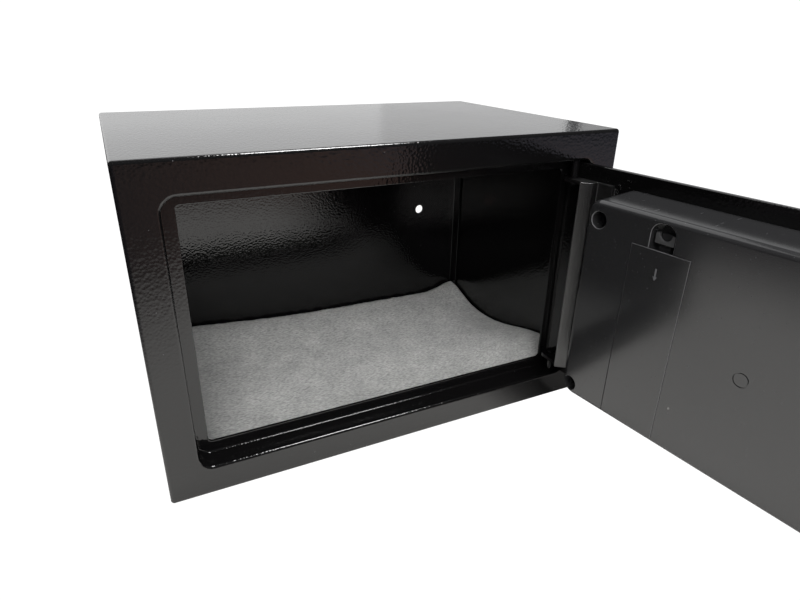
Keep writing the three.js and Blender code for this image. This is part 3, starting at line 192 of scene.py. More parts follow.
table_mesh = bpy.data.meshes.new("table")
table_corners = [(x * table_reach, y * table_reach, 0) for x, y in ((-1, -1), (1, -1), (1, 1), (-1, 1))]
table_mesh.from_pydata(table_corners, [], [(0, 1, 2, 3)])
table_mesh.materials.append(table_top())
linked("table", table_mesh)
soft_box("ceiling_lamp", (0.28, -0.2, 1.2), (0.28, -0.2, 0), (0.4, 0.4), 36)
soft_box("front_fill", (-0.2, -1.5, 0.7), (0, 0, 0), (1.2, 0.8), 7.5, gloss=False)
soft_box("high_fill", (-0.35, -0.9, 1.25), (0, -0.1, 0), (1.0, 1.0), 7.2, gloss=False)
soft_box("rear_wall", (-0.2, 3.0, 0.85), (-0.2, 0, 0.85), (3.2, 1.7), 0.83)
soft_box("rear_wall_far", (2.15, 3.0, 0.85), (2.15, 0, 0.85), (1.5, 1.7), 0.68)
soft_box("right_wall", (4.0, 1.6, 1.6), (0, 0.6, 1.6), (4.0, 3.2), 0.4)
soft_box("rear_ceiling", (-0.15, 0.9, 1.5), (0.1, -0.1, 0.15), (1.8, 1.1), 1.3)

world = bpy.data.worlds.new("white_room")
world.use_nodes = True
bpy.context.scene.world = world
sky = world.node_tree
sky.nodes.clear()
dim_air = node(sky, "ShaderNodeBackground", {"Color": (0.95, 0.97, 1.0, 1), "Strength": 0.12})
air = paper_to_camera(sky, "ShaderNodeBackground", dim_air.outputs[0])
node(sky, "ShaderNodeOutputWorld", {"Surface": air})
bpy.context.scene.view_settings.view_transform = "Standard"

# Steel body.
# One sheet of mild steel is folded and rolled into the box, the border round the door and the rebate, and
# a stop frame is welded behind it. All of it has hammered black powder coat.
shell_low, shell_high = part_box("body_shell")
mm = 0.001
width = (shell_high.x - shell_low.x) / mm
depth = (shell_high.y - shell_low.y) / mm
height = (shell_high.z - shell_low.z) / mm
body_place = Matrix.Translation(shell_low) @ Matrix.Scale(mm, 4)
sheet_wall, sheet_edge = 1.5, 0.7
seam = 0.3
fold_radius = 2
border_width = 19
rebate_depth, rebate_corner = 15, 8.5
mouth_roll = 2
frame_bend, frame_wall, frame_leg_front = 1.2, 1.5, 4
flange_width, hinge_flange_width = 7.75, 13.25
opening_corner = 2.5
corner_steps = 12
outside = (0, width, 0, height)
inside = (sheet_wall, width - sheet_wall, sheet_wall, height - sheet_wall)
mouth = (border_width, width - border_width, border_width, height - border_width)
opening = (
    mouth[0] + flange_width, mouth[1] - hinge_flange_width, mouth[2] + flange_width, mouth[3] - flange_width,
)
lap = 2 * sheet_wall + seam
paint_black, paint_dust = (0.0022, 0.0021, 0.0022), (0.07, 0.07, 0.072)
same_point = 1e-7


def ring(y, box, inset, radius, steps=corner_steps):
    """A rounded rectangle at depth y, in millimetres. A negative inset makes it larger than its box."""
    left, right, low, high = box
    reach = max(radius, 0.01)
    centres = [
        (right - inset - reach, high - inset - reach),
        (left + inset + reach, high - inset - reach),
        (left + inset + reach, low + inset + reach),
        (right - inset - reach, low + inset + reach),
    ]
    points = []
    for quarter, (x, z) in enumerate(centres):
        for i in range(steps + 1):
            angle = (quarter + i / steps) * math.pi / 2
            points.append((x + reach * math.cos(angle), y, z + reach * math.sin(angle)))
    return points


def rings(box, *rows, steps=corner_steps):
    """Rings about one box, from rows of depth, inset and corner radius."""
    return [ring(y, box, inset, radius, steps) for y, inset, radius in rows]


def rounding(radius, steps=6):
    """A quarter round from a side to a face, as pairs of the way along the side and the way in."""
    for i in range(1, steps + 1):
        angle = i / steps * math.pi / 2
        yield radius * math.sin(angle), radius * (1 - math.cos(angle))


def skin(lines, loop=False):
    """A closed surface over lines with equally many points. A loop joins its last line to its first."""
    count = len(lines[0])
    points = [point for line in lines for point in line]
    faces = []
    for i in range(len(lines) if loop else len(lines) - 1):
        a, b = i * count, (i + 1) % len(lines) * count
        faces += [(a + k, a + (k + 1) % count, b + (k + 1) % count, b + k) for k in range(count)]
    if not loop:
        faces.append(tuple(range(count)))
        faces.append(tuple(range((len(lines) - 1) * count, len(lines) * count)))
    return points, faces


def smoothed(made, sharp=35):
    made.data.polygons.foreach_set("use_smooth", [True] * len(made.data.polygons))
    made.data.set_sharp_from_angle(angle=math.radians(sharp))
    if "even faces" not in made.modifiers:
        made.modifiers.new("even faces", "WEIGHTED_NORMAL").keep_sharp = True
    return made


def piece(name, shape, place, material, sharp=35):
    """A mesh object from points in millimetres, moved to its place, with smooth rounds and crisp edges."""
    points, faces = shape
    mesh = bpy.data.meshes.new(name)
    mesh.from_pydata([place @ Vector(point) for point in points], [], faces)
    surface = bmesh.new()
    surface.from_mesh(mesh)
    bmesh.ops.remove_doubles(surface, verts=surface.verts, dist=same_point)
    bmesh.ops.recalc_face_normals(surface, faces=surface.faces)
    surface.to_mesh(mesh)
    surface.free()
    mesh.materials.append(material)
    return smoothed(linked(name, mesh), sharp)


def dressed(made, body, slot, *nodes):
    """Rides on its body and stands for the nodes named, which it hides. The slot is not used."""
    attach(made, body)
    if nodes:
        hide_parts(*nodes)
    return made


def group_tree(name, kind, inputs, outputs):
    """A node group with sockets of those names and kinds, and the outputs of its input node."""
    tree = bpy.data.node_groups.new(name, kind)
    for direction, sockets in (("INPUT", inputs), ("OUTPUT", outputs)):
        for label, sort in sockets.items():
            tree.interface.new_socket(label, in_out=direction, socket_type="NodeSocket" + sort)
    return tree, node(tree, "NodeGroupInput").outputs


def clouds(tree, place, scale, detail, output="Fac"):
    sources = {"Vector": place, "Scale": scale, "Detail": detail}
    return node(tree, "ShaderNodeTexNoise", sources).outputs[output]


def bumped(tree, bump_height, strength, distance):
    sources = {"Height": bump_height, "Strength": strength, "Distance": distance}
    return node(tree, "ShaderNodeBump", sources).outputs[0]


def hammered_paint_group():
    """Height and tone of hammered paint: soft round cells of one to three millimetres."""
    group, given = group_tree(
        "hammered paint", "ShaderNodeTree",
        {"Cells Per Metre": "Float"}, {"Height": "Float", "Tone": "Float"},
    )
    place = node(group, "ShaderNodeTexCoord").outputs["Object"]
    wander = clouds(group, place, 500, 1, "Color")
    moved = calculated(group, "MULTIPLY", wander, (0.0004,) * 3, kind="VectorMath")
    path = calculated(group, "ADD", place, moved, kind="VectorMath")
    cells = node(group, "ShaderNodeTexVoronoi", {
        "Vector": path, "Scale": given[0], "Smoothness": 0.5,
    }, feature="SMOOTH_F1")
    fine = clouds(group, place, 1400, 2)
    node(group, "NodeGroupOutput", {
        "Height": calculated(group, "MULTIPLY_ADD", fine, 0.12, cells.outputs["Distance"]),
        "Tone": clouds(group, place, 14, 3),
    })
    return group


def handling_marks_group():
    """Masks for fine scratches and specks of dust, and a soft value for smears."""
    group, given = group_tree(
        "handling marks", "ShaderNodeTree", {"Scratches Per Metre": "Float", "Dust Per Metre": "Float"},
        {"Scratches": "Float", "Dust": "Float", "Smears": "Float"},
    )
    place = node(group, "ShaderNodeTexCoord").outputs["Object"]
    masks = []
    for turn in ((0.4, 0.9, 0.3), (1.1, 0.2, 1.7)):
        lie = node(group, "ShaderNodeMapping", {"Vector": place, "Rotation": turn, "Scale": (1, 14, 14)})
        masks.append(ranged(group, clouds(group, lie.outputs[0], given[0], 1), 0.75, 0.8))
    motes = node(group, "ShaderNodeTexVoronoi", {"Vector": place, "Scale": given[1]}).outputs
    chance = node(group, "ShaderNodeSeparateColor", {"Color": motes["Color"]}).outputs[0]
    rare = calculated(group, "GREATER_THAN", chance, 0.93)
    node(group, "NodeGroupOutput", {
        "Scratches": calculated(group, "MAXIMUM", *masks),
        "Dust": calculated(group, "MULTIPLY", ranged(group, motes["Distance"], 0.1, 0.06), rare),
        "Smears": clouds(group, place, 30, 4),
    })
    return group


hammered_paint = hammered_paint_group()
handling_marks = handling_marks_group()


def handled(tree, scratches, dust):
    """The masks of the handling marks, for so many scratches and specks a metre."""
    counts = {"Scratches Per Metre": scratches, "Dust Per Metre": dust}
    return node(tree, "ShaderNodeGroup", counts, node_tree=handling_marks).outputs


def powder_coat(name, cells_per_metre, relief, roughness=(0.08, 0.13), gloss=0.5):
    """Black hammered paint with a few pale specks of dust."""
    material, tree, _ = plain_material(name, paint_black, 0.18, {"Specular IOR Level": gloss})
    counts = {"Cells Per Metre": cells_per_metre}
    paint = node(tree, "ShaderNodeGroup", counts, node_tree=hammered_paint).outputs
    feed(tree, {
        "Base Color": mixed(tree, handled(tree, 40, 330)["Dust"], paint_black, paint_dust),
        "Roughness": ranged(tree, paint["Tone"], 0.3, 0.7, *roughness),
        "Normal": bumped(tree, paint["Height"], 0.5, relief),
    })
    return material


body_paint = powder_coat("hammered_black_paint", 600, 0.00015)
profile = rings(outside, (depth, 0, fold_radius), (fold_radius, 0, fold_radius))
profile += [ring(fold_radius - along, outside, inward, fold_radius - inward * 0.7)
            for along, inward in rounding(fold_radius)]
profile += rings(mouth, (0, -mouth_roll, rebate_corner + mouth_roll))
profile += [ring(inward, mouth, along - mouth_roll, rebate_corner + mouth_roll - along)
            for along, inward in rounding(mouth_roll)]
profile += rings(mouth, (rebate_depth - frame_bend, 0, rebate_corner))
profile += [ring(rebate_depth - frame_bend + along, mouth, inward, rebate_corner - inward)
            for along, inward in rounding(frame_bend)]
profile += rings(
    opening,
    (rebate_depth, -sheet_edge, opening_corner + sheet_edge),
    (rebate_depth + sheet_edge * 0.3, -sheet_edge * 0.3, opening_corner + sheet_edge * 0.3),
    (rebate_depth + sheet_edge, 0, opening_corner),
    (rebate_depth + frame_wall, 0, opening_corner),
)
profile += rings(
    mouth,
    (rebate_depth + frame_wall, -lap, rebate_corner + lap),
    (frame_leg_front, -lap, rebate_corner + lap),
    (frame_leg_front, -sheet_wall, rebate_corner + sheet_wall),
    (sheet_wall, -sheet_wall, rebate_corner + sheet_wall),
)
profile += rings(inside, (sheet_wall, 0, fold_radius / 2), (depth, 0, fold_radius / 2))
steel_shell = piece("steel_shell", skin(profile, loop=True), body_place, body_paint)
dressed(steel_shell, "safe_body", "powder_coat", "body_shell", "door_frame")

# Back pan.
# A pressed pan whose lips point forwards and are welded inside the rear of the box.
# It has two punched holes for wall anchors. Every drill here and below starts and ends a little past the
# sheet it goes through.
pan_lip, pan_round = 10, 0.8
anchor_spacing, anchor_radius = 229.5, 4
past = 2
near_point = 2e-6
no_turn = Matrix.Identity(4)


def lifted(axis, outline, along):
    """A flat outline set across an axis, at that way along it."""
    at = "xyz".index(axis)
    return [(*spot[:at], along, *spot[at:]) for spot in outline]


def turned(axis, centre, profile, sides=48, loop=False):
    """A piece turned about an axis. The profile holds pairs of the way along it and the radius."""
    turn = 2 * math.pi / sides
    return skin([
        lifted(axis, [(centre[0] + radius * math.cos(i * turn), centre[1] + radius * math.sin(i * turn))
                      for i in range(sides)], along)
        for along, radius in profile
    ], loop)


def together(*shapes):
    """Several shapes as one list of points and one of faces."""
    points, faces = [], []
    for more_points, more_faces in shapes:
        faces += [tuple(corner + len(points) for corner in face) for face in more_faces]
        points += more_points
    return points, faces


def settled(made, sharp=35):
    """The piece with its modifiers worked into its mesh and points that lie together joined."""
    made.modifiers.remove(made.modifiers["even faces"])
    evaluated = made.evaluated_get(bpy.context.evaluated_depsgraph_get())
    mesh = bpy.data.meshes.new_from_object(evaluated)
    surface = bmesh.new()
    surface.from_mesh(mesh)
    bmesh.ops.remove_doubles(surface, verts=surface.verts, dist=near_point)
    surface.to_mesh(mesh)
    surface.free()
    made.modifiers.clear()
    made.data = mesh
    return smoothed(made, sharp)


def carved(made, shape, place=no_turn, operation="DIFFERENCE", finish=None):
    """Cuts away or joins another shape, given in millimetres, which may bring its own finish."""
    tool = piece("tool", shape, place, finish or made.data.materials[0])
    boolean = made.modifiers.new("carve", "BOOLEAN")
    if finish:
        boolean.material_mode = "TRANSFER"
    boolean.operation = operation
    boolean.solver = "EXACT"
    boolean.object = tool
    settled(made)
    bpy.data.objects.remove(tool)
    return made


fit = sheet_wall + seam
pan_outside = (fit, width - fit, fit, height - fit)
lip_front = depth - sheet_wall - pan_lip
pan_rings = rings(
    pan_outside,
    (depth, pan_round, 0.7), (depth - pan_round, 0, 1.5),
    (lip_front + sheet_edge, 0, 1.5), (lip_front, sheet_edge, 1.2),
    (lip_front, sheet_wall - sheet_edge, 1), (lip_front + sheet_edge, sheet_wall, 1),
    (depth - sheet_wall - pan_round, sheet_wall, 1), (depth - sheet_wall, sheet_wall + pan_round, 0.4),
)
pan = piece("rear_pan", skin(pan_rings), body_place, body_paint)
anchor_drill = [(depth - sheet_wall - past, anchor_radius), (depth + past, anchor_radius)]
opening_centre = (opening[0] + opening[1]) / 2
anchor_places = (opening_centre - anchor_spacing / 2, opening_centre + anchor_spacing / 2)
carved(pan, together(*(turned("y", (x, height / 2), anchor_drill) for x in anchor_places)), body_place)
dressed(pan, "safe_body", "powder_coat", "back_panel")

# Felt mat.
# Needle felt, cut a little too large for the floor: the left and back edges climb the walls, and the right
# edge rises in a wave beside the hinge. It is heathered from light and dark grey fibres.
mat_thickness, mat_step, mat_thinning = 2.5, 2.4, 0.45
mat_side_gap, mat_front_gap, mat_rear_gap = 2, 1, 2.5
mat_left = sheet_wall + mat_side_gap
mat_right = width - sheet_wall - mat_side_gap
mat_front = rebate_depth + frame_wall + mat_front_gap
mat_rear = depth - sheet_wall - mat_rear_gap
left_curl, left_curl_reach = 15, 110
rear_wave, rear_wave_inset, rear_wave_reach = 7, 85, 150
rear_curl_depth = 45
corner_curl, corner_curl_reach, corner_curl_depth = 9, 20, 30
side_wave, side_wave_inset, side_wave_reach, side_wave_depth = 21, 20, 45, 60
mat_swells = (
    (mat_left, mat_rear, left_curl, left_curl_reach, rear_curl_depth),
    (mat_right - rear_wave_inset, mat_rear, rear_wave, rear_wave_reach, rear_curl_depth),
    (mat_right, mat_rear, corner_curl, corner_curl_reach, corner_curl_depth),
    (mat_right, mat_front + side_wave_inset, side_wave, side_wave_reach, side_wave_depth),
)
dark_felt, light_felt = (0.25, 0.25, 0.242), (0.5, 0.5, 0.485)


def mat_height(x, y):
    rise = sheet_wall + seam
    for peak_x, peak_y, swell, reach_x, reach_y in mat_swells:
        rise += swell * math.exp(-(((x - peak_x) / reach_x) ** 2) - ((y - peak_y) / reach_y) ** 2)
    return rise


def felt_sheet():
    """The mat's top and underside as one closed skin, with a slightly uneven surface and soft edges."""
    columns = round((mat_right - mat_left) / mat_step)
    rows = round((mat_rear - mat_front) / mat_step)
    lines = []
    for row in range(rows + 1):
        y = mat_front + (mat_rear - mat_front) * row / rows
        top, under = [], []
        for column in range(columns + 1):
            x = mat_left + (mat_right - mat_left) * column / columns
            edge = min(x - mat_left, mat_right - x, y - mat_front, mat_rear - y)
            thin = mat_thinning * max(0, 1 - edge / mat_step)
            uneven = 0.35 * noise.noise(Vector((x / 9, y / 9, 0)))
            uneven += 0.2 * noise.noise(Vector((x / 3, y / 3, 5)))
            low = mat_height(x, y)
            top.append((x, y, low + mat_thickness - thin + uneven))
            under.append((x, y, low + thin))
        lines.append(top + under[::-1])
    return skin(lines)


def felt_material():
    material, tree, place = plain_material("heathered_felt", (0.3, 0.3, 0.29), 0.95, {
        "Sheen Weight": 0.25, "Sheen Roughness": 0.6, "Specular IOR Level": 0.2,
    })
    strands = []
    for turn, scale in ((0.3, 1100), (1.2, 900), (2.7, 1250)):
        lie = node(tree, "ShaderNodeMapping", {
            "Vector": place, "Rotation": (0, 0, turn), "Scale": (0.36, 1, 1),
        })
        strands.append(clouds(tree, lie.outputs[0], scale, 2))
    weave = calculated(tree, "ADD", calculated(tree, "ADD", strands[0], strands[1]), strands[2])
    heather = mixed(tree, ranged(tree, weave, 1.2, 1.8), dark_felt, light_felt)
    cloudy = ranged(tree, clouds(tree, place, 55, 4), 0.3, 0.7, 0.86, 1.12)
    feed(tree, {
        "Base Color": calculated(tree, "MULTIPLY", heather, cloudy, kind="VectorMath"),
        "Normal": bumped(tree, weave, 0.7, 0.0006),
    })
    return material


felt = felt_material()
felt_mat = piece("felt_mat", felt_sheet(), body_place, felt, sharp=80)
dressed(felt_mat, "safe_body", "felt", "floor_mat")


def tube(tree, path, radius, sides):
    """A capped tube along a path."""
    section = node(tree, "GeometryNodeCurvePrimitiveCircle", {"Resolution": sides, "Radius": radius})
    sources = {"Curve": path, "Profile Curve": section.outputs[0], "Fill Caps": True}
    return node(tree, "GeometryNodeCurveToMesh", sources).outputs[0]


def realised(tree, geometry):
    return node(tree, "GeometryNodeRealizeInstances", {"Geometry": geometry}).outputs[0]


def completed(tree, geometry, finish):
    """Ends a geometry tree with its geometry in one finish."""
    painted = node(tree, "GeometryNodeSetMaterial", {"Geometry": geometry, "Material": finish})
    node(tree, "NodeGroupOutput", {0: painted.outputs[0]})
    return tree


def loose_fibres_tree():
    """Scatters bent fibres over a surface, lying nearly flat on it."""
    tree, given = group_tree("loose fibres", "GeometryNodeTree", {
        "Surface": "Geometry", "Fibres Per Square Metre": "Float", "Length": "Float", "Radius": "Float",
        "Seed": "Int", "Finish": "Material",
    }, {"Fibres": "Geometry"})
    spots = node(tree, "GeometryNodeDistributePointsOnFaces", {
        "Mesh": given["Surface"], "Density": given["Fibres Per Square Metre"], "Seed": given["Seed"],
    }).outputs
    half, back, lift = (calculated(tree, "MULTIPLY", given["Length"], share) for share in (0.5, -0.5, 0.12))
    start = node(tree, "ShaderNodeCombineXYZ", {"X": back})
    crown = node(tree, "ShaderNodeCombineXYZ", {"Y": lift, "Z": lift})
    end = node(tree, "ShaderNodeCombineXYZ", {"X": half})
    strand = node(tree, "GeometryNodeCurveQuadraticBezier", {
        "Resolution": 3, "Start": start.outputs[0], "Middle": crown.outputs[0], "End": end.outputs[0],
    })
    fibre = tube(tree, strand.outputs[0], given["Radius"], 3)
    spin = node(tree, "FunctionNodeRandomValue", {
        "Min": (-0.25, -0.25, 0), "Max": (0.25, 0.25, math.tau), "Seed": given["Seed"],
    }, data_type="FLOAT_VECTOR")
    size = node(tree, "FunctionNodeRandomValue", {2: 0.5, 3: 1.3}, data_type="FLOAT")
    laid = node(
        tree, "FunctionNodeRotateRotation", {"Rotation": spots["Rotation"], "Rotate By": spin.outputs[0]},
        rotation_space="LOCAL",
    )
    scattered = node(tree, "GeometryNodeInstanceOnPoints", {
        "Points": spots["Points"], "Instance": fibre, "Rotation": laid.outputs[0], "Scale": size.outputs[1],
    })
    return completed(tree, realised(tree, scattered.outputs[0]), given["Finish"])


def grown(name, mesh, tree, *runs):
    """A plain mesh made from a copy of the given one by a geometry tree, run once with each set of values."""
    made = smoothed(linked(name, mesh.copy()))
    for values in runs:
        growth = made.modifiers.new("growth", "NODES")
        growth.node_group = tree
        for item in tree.interface.items_tree:
            if item.in_out == "INPUT" and item.name in values:
                growth[item.identifier] = values[item.name]
    return settled(made)


fibres = grown("felt_fibres", felt_mat.data, loose_fibres_tree(), {
    "Fibres Per Square Metre": 110000.0, "Length": 0.003, "Radius": 0.000035, "Seed": 7, "Finish": felt,
})
dressed(fibres, "safe_body", "felt")

# Door leaf.
# A flat steel plate with eased edges and rounded corners, painted as the body is.
# It is drilled for the knob's bushing, the key cylinder and the wires.
joints = {joint["name"]: joint for joint in frame["joints"]}
hinge = (body_place.inverted() @ Vector(joints["door_hinge"]["pos_m"])).to_2d()
open_angle = math.radians(-joints["door_hinge"]["range_deg"][0])
to_hinge = Matrix.Translation((hinge.x, hinge.y, 0))
door_place = body_place @ to_hinge @ Matrix.Rotation(open_angle, 4, "Z") @ to_hinge.inverted()
latch_gap, hinge_gap, door_gap = 1.5, 2.5, 2
leaf = (mouth[0] + latch_gap, mouth[1] - hinge_gap, mouth[2] + door_gap, mouth[3] - door_gap)
leaf_corner, leaf_plate, leaf_edge, leaf_chamfer = 8, 3.5, 1, 0.4
middle_z = height / 2
knob_x = 88
key_x, key_z = 150, middle_z - 28
wire_x, wire_z = 160, middle_z + 25
bushing_bore, cylinder_bore, wire_bore = 7.3, 9.8, 5


def rounded_front(front, box, corner, radius, steps=corner_steps):
    """Rings from a flat front over its rounded edge to the full outline."""
    edge = [ring(front + radius - along, box, inward, corner - inward, steps)
            for along, inward in rounding(radius)]
    return edge[::-1] + [ring(front + radius, box, 0, corner, steps)]


leaf_rings = rounded_front(0, leaf, leaf_corner, leaf_edge)
leaf_rings += rings(leaf, (leaf_plate - leaf_chamfer, 0, leaf_corner),
                    (leaf_plate, leaf_chamfer, leaf_corner - leaf_chamfer))
door_leaf = piece("door_leaf", skin(leaf_rings), door_place, body_paint)
drills = [
    turned("y", centre, [(-past, radius), (leaf_plate + past, radius)])
    for centre, radius in (
        ((knob_x, middle_z), bushing_bore), ((key_x, key_z), cylinder_bore), ((wire_x, wire_z), wire_bore),
    )
]
carved(door_leaf, together(*drills), door_place)
dressed(door_leaf, "door", "powder_coat", "door_plate")

# Hinge bracket.
# A steel strip bent to an angle with a slanted lip and welded to the back of the leaf. A rounded ear stands
# at each end. It was welded before painting, so the weld beads and spatter lie under the same black paint.
hinge_stand = 17.5
plate_back = leaf_plate + seam
bracket_sheet, bracket_leg, bracket_lip, bracket_inset, bracket_stem = 2.5, 14.5, 6, 10, 6.5
bracket_outer = hinge.x - hinge_stand
bracket_inner = bracket_outer - bracket_sheet
bracket_end = bracket_outer - bracket_leg
bracket_bend = plate_back + bracket_stem
bracket_low, bracket_high = leaf[2] + bracket_inset, leaf[3] - bracket_inset
ear_radius, pin_radius = 6, 2.5
outer_bend, inner_bend, lip_bend = 3, 1, 1.2


def arc(x, y, radius, start, end, steps=8):
    """Points along an arc, from one angle in degrees to another."""
    turns = [math.radians(start + (end - start) * i / steps) for i in range(steps + 1)]
    return [(x + radius * math.cos(turn), y + radius * math.sin(turn)) for turn in turns]


def prism(axis, outline, low, high):
    return skin([lifted(axis, outline, along) for along in (low, high)])


def eased(made, radius, segments=2, angle=50, scuff_and_highlight=None, unit=mm):
    """Breaks the sharp edges with a small round, in millimetres, which may take a finish of its own."""
    surface = bmesh.new()
    surface.from_mesh(made.data)
    bmesh.ops.dissolve_degenerate(surface, dist=0.02 * unit, edges=surface.edges)
    bmesh.ops.dissolve_limit(surface, angle_limit=math.radians(0.3), verts=surface.verts, edges=surface.edges)
    surface.to_mesh(made.data)
    surface.free()
    bevel = made.modifiers.new("broken edges", "BEVEL")
    # The round may take a paler finish, which paints scuffing and a highlight along the edge.
    if scuff_and_highlight:
        made.data.materials.append(scuff_and_highlight)
        bevel.material = 1
    bevel.width = radius * unit
    bevel.segments = segments
    bevel.limit_method = "ANGLE"
    bevel.angle_limit = math.radians(angle)
    bevel.use_clamp_overlap = True
    return settled(made)


eighth = math.tan(math.pi / 8)
slant = bracket_sheet * math.sqrt(0.5)
lip_tip = (bracket_inner + bracket_lip, bracket_bend + bracket_lip)
lip_back = (lip_tip[0] + slant, lip_tip[1] - slant)
angle_outline = [
    (bracket_end, plate_back),
    *arc(bracket_outer - outer_bend, plate_back + outer_bend, outer_bend, -90, 0),
    (bracket_outer, bracket_bend - bracket_sheet * eighth), lip_back, lip_tip,
    *arc(bracket_inner + lip_bend, bracket_bend - lip_bend * eighth, lip_bend, 135, 180, 5),
    *arc(bracket_inner - inner_bend, plate_back + bracket_sheet + inner_bend, inner_bend, 0, -90, 5),
    (bracket_end, plate_back + bracket_sheet),
]
ear_low = math.degrees(math.asin((plate_back - hinge.y) / ear_radius))
ear_root = bracket_inner + bracket_sheet / 2
ear_outline = [
    (ear_root, plate_back), *arc(hinge.x, hinge.y, ear_radius, ear_low, 90, 16),
    (lip_back[0] - 0.8, lip_back[1]), (ear_root, bracket_bend),
]
bracket_paint = powder_coat("fine_hammered_paint", 1200, 0.0003, (0.25, 0.35), 1)
bracket_shape = prism("z", angle_outline, bracket_low, bracket_high)
bracket = piece("hinge_angle", bracket_shape, door_place, bracket_paint)
eased(bracket, 0.3, angle=40)
carved(bracket, together(
    prism("z", ear_outline, bracket_high - bracket_sheet, bracket_high),
    prism("z", ear_outline, bracket_low, bracket_low + bracket_sheet),
), door_place, "UNION")
pin_bore, bore_length = pin_radius + seam, 7
carved(bracket, together(*(
    turned("z", hinge, [(low, pin_bore), (low + bore_length, pin_bore)])
    for low in (bracket_high + past - bore_length, bracket_low - past)
)), door_place)
dressed(bracket, "door", "powder_coat", "hinge_bracket")


def weld_beads_tree():
    """Adds a run of molten beads along a line, each a small lump at a random place and size."""
    tree, given = group_tree("weld beads", "GeometryNodeTree", {
        "Welds": "Geometry", "Start": "Vector", "End": "Vector", "Beads": "Int", "Bead Radius": "Float",
        "Spread": "Float", "Seed": "Int", "Finish": "Material",
    }, {"Welds": "Geometry"})
    run = node(tree, "GeometryNodeMeshLine", {
        "Count": given["Beads"], "Start Location": given["Start"], "Offset": given["End"],
    }, mode="END_POINTS")
    stray, sizes = (
        node(tree, "FunctionNodeRandomValue", {"Min": low, "Max": high, "Seed": given["Seed"]},
             data_type="FLOAT_VECTOR").outputs[0]
        for low, high in (((-1, -1, -1), (1, 1, 1)), ((0.5, 0.5, 0.5), (1.1, 1.1, 1.3)))
    )
    reach = node(tree, "ShaderNodeVectorMath", {0: stray, "Scale": given["Spread"]}, operation="SCALE")
    placed = node(tree, "GeometryNodeSetPosition", {"Geometry": run.outputs[0], "Offset": reach.outputs[0]})
    bead = node(tree, "GeometryNodeMeshIcoSphere", {"Radius": given["Bead Radius"], "Subdivisions": 2})
    laid = node(tree, "GeometryNodeInstanceOnPoints", {
        "Points": placed.outputs[0], "Instance": bead.outputs[0], "Scale": sizes,
    })
    both = node(tree, "GeometryNodeJoinGeometry", {0: given["Welds"]})
    tree.links.new(realised(tree, laid.outputs[0]), both.inputs[0])
    return completed(tree, both.outputs[0], given["Finish"])


weld_runs = (
    ((bracket_end, bracket_high - 2), (bracket_end, bracket_high - 24), 26, 1.1, 0.3),
    ((bracket_end, middle_z + 12), (bracket_end, middle_z - 12), 26, 1.1, 0.3),
    ((bracket_end, bracket_low + 2), (bracket_end, bracket_low + 24), 26, 1.1, 0.3),
    ((bracket_end - 3, bracket_high + 1), (bracket_end - 3, bracket_high - 14), 22, 0.42, 2.4),
    ((bracket_end - 9, leaf[3] - 3), (bracket_end - 12, leaf[3] - 8), 9, 0.4, 1.6),
    ((bracket_end - 3, bracket_low + 1), (bracket_end - 3, bracket_low + 14), 16, 0.42, 2.4),
)


def on_weld(x, z):
    return door_place @ Vector((x, leaf_plate + 0.2, z))


welds = grown("hinge_welds", bpy.data.meshes.new("welds"), weld_beads_tree(), *(
    {"Start": on_weld(*start), "End": on_weld(*end), "Beads": count, "Bead Radius": radius * mm,
     "Spread": spread * mm, "Seed": i, "Finish": bracket_paint}
    for i, (start, end, count, radius, spread) in enumerate(weld_runs)
))
dressed(welds, "door", "powder_coat")

# Hinge pins.
# Two short turned steel pins, one in each ear, painted with the door. They run on into holes in the
# rebate's wall.
pin_overlap, pin_reach, pin_chamfer = 2.5, 5, 0.5
pin_inside = bracket_sheet + pin_overlap
for name, cad_node, start, end, side in (
    ("hinge_pin_upper", "hinge_pin_top", bracket_high - pin_inside, mouth[3] + pin_reach, 1),
    ("hinge_pin_lower", "hinge_pin_bottom", bracket_low + pin_inside, mouth[2] - pin_reach, -1),
):
    pin_profile = [
        (start, pin_radius - pin_chamfer), (start + side * pin_chamfer, pin_radius),
        (end - side * pin_chamfer, pin_radius), (end, pin_radius - pin_chamfer),
    ]
    pin = piece(name, turned("z", hinge, pin_profile), door_place, body_paint)
    dressed(pin, "door", "powder_coat", cad_node)

# Inner cover.
# A moulding of satin grey plastic over the lock work and the battery bay, held by a screw in each corner.
# Its sides have draft, its outer edge a soft round, and a round mark shows where the plastic was fed in.
cover_thickness = 32.2
cover_face = plate_back + cover_thickness
cover_wall, cover_draft, cover_corner, cover_fillet = 2.2, 2, 11, 3.5
latch_margin, hinge_margin, cover_margin = 9, 44.5, 10
rim = (leaf[0] + latch_margin, leaf[1] - hinge_margin, leaf[2] + cover_margin, leaf[3] - cover_margin)
screw_places = (
    (rim[1] - 11.3, rim[3] - 13.6), (rim[1] - 8.1, rim[2] + 9.2),
    (rim[0] + 8, rim[3] - 11.5), (rim[0] + 8, rim[2] + 11.5),
)
well_radius, well_taper, well_depth, boss_wall = 5.2, 1, 13.8, 1.7
well_floor = cover_face - well_depth
screw_radius = 1.9
lid_thickness, lid_wrap, lid_half = 1.8, 15.7, 18.2
lid_centre = key_x + 39.8
bay_wall, bay_ledge = 1.6, 1.3
cell_radius, cell_length, cell_foot, cell_play = 7.25, 50.5, 2.7, 5.1
bay_low = rim[2] + cover_draft + cover_wall + bay_wall + cell_foot
bay_high = bay_low + 2 * cell_length + cell_play
lid_top = bay_high + bay_wall + bay_ledge
run_gap = 0.5
tongue_drop = 3.4
tongue_back = cover_face - lid_thickness - tongue_drop
bay_back = tongue_back - run_gap - 2 * cell_radius - seam
bay_left, bay_right = lid_centre - lid_half + bay_ledge - seam, lid_centre + lid_half - bay_ledge + seam
thumb_floor = tongue_back - run_gap
thumb_half, thumb_corner, thumb_length = 7.5, 6.5, 15
thumb_low, thumb_high = lid_top + seam, lid_top + seam + thumb_length
latch_half = 6 + run_gap
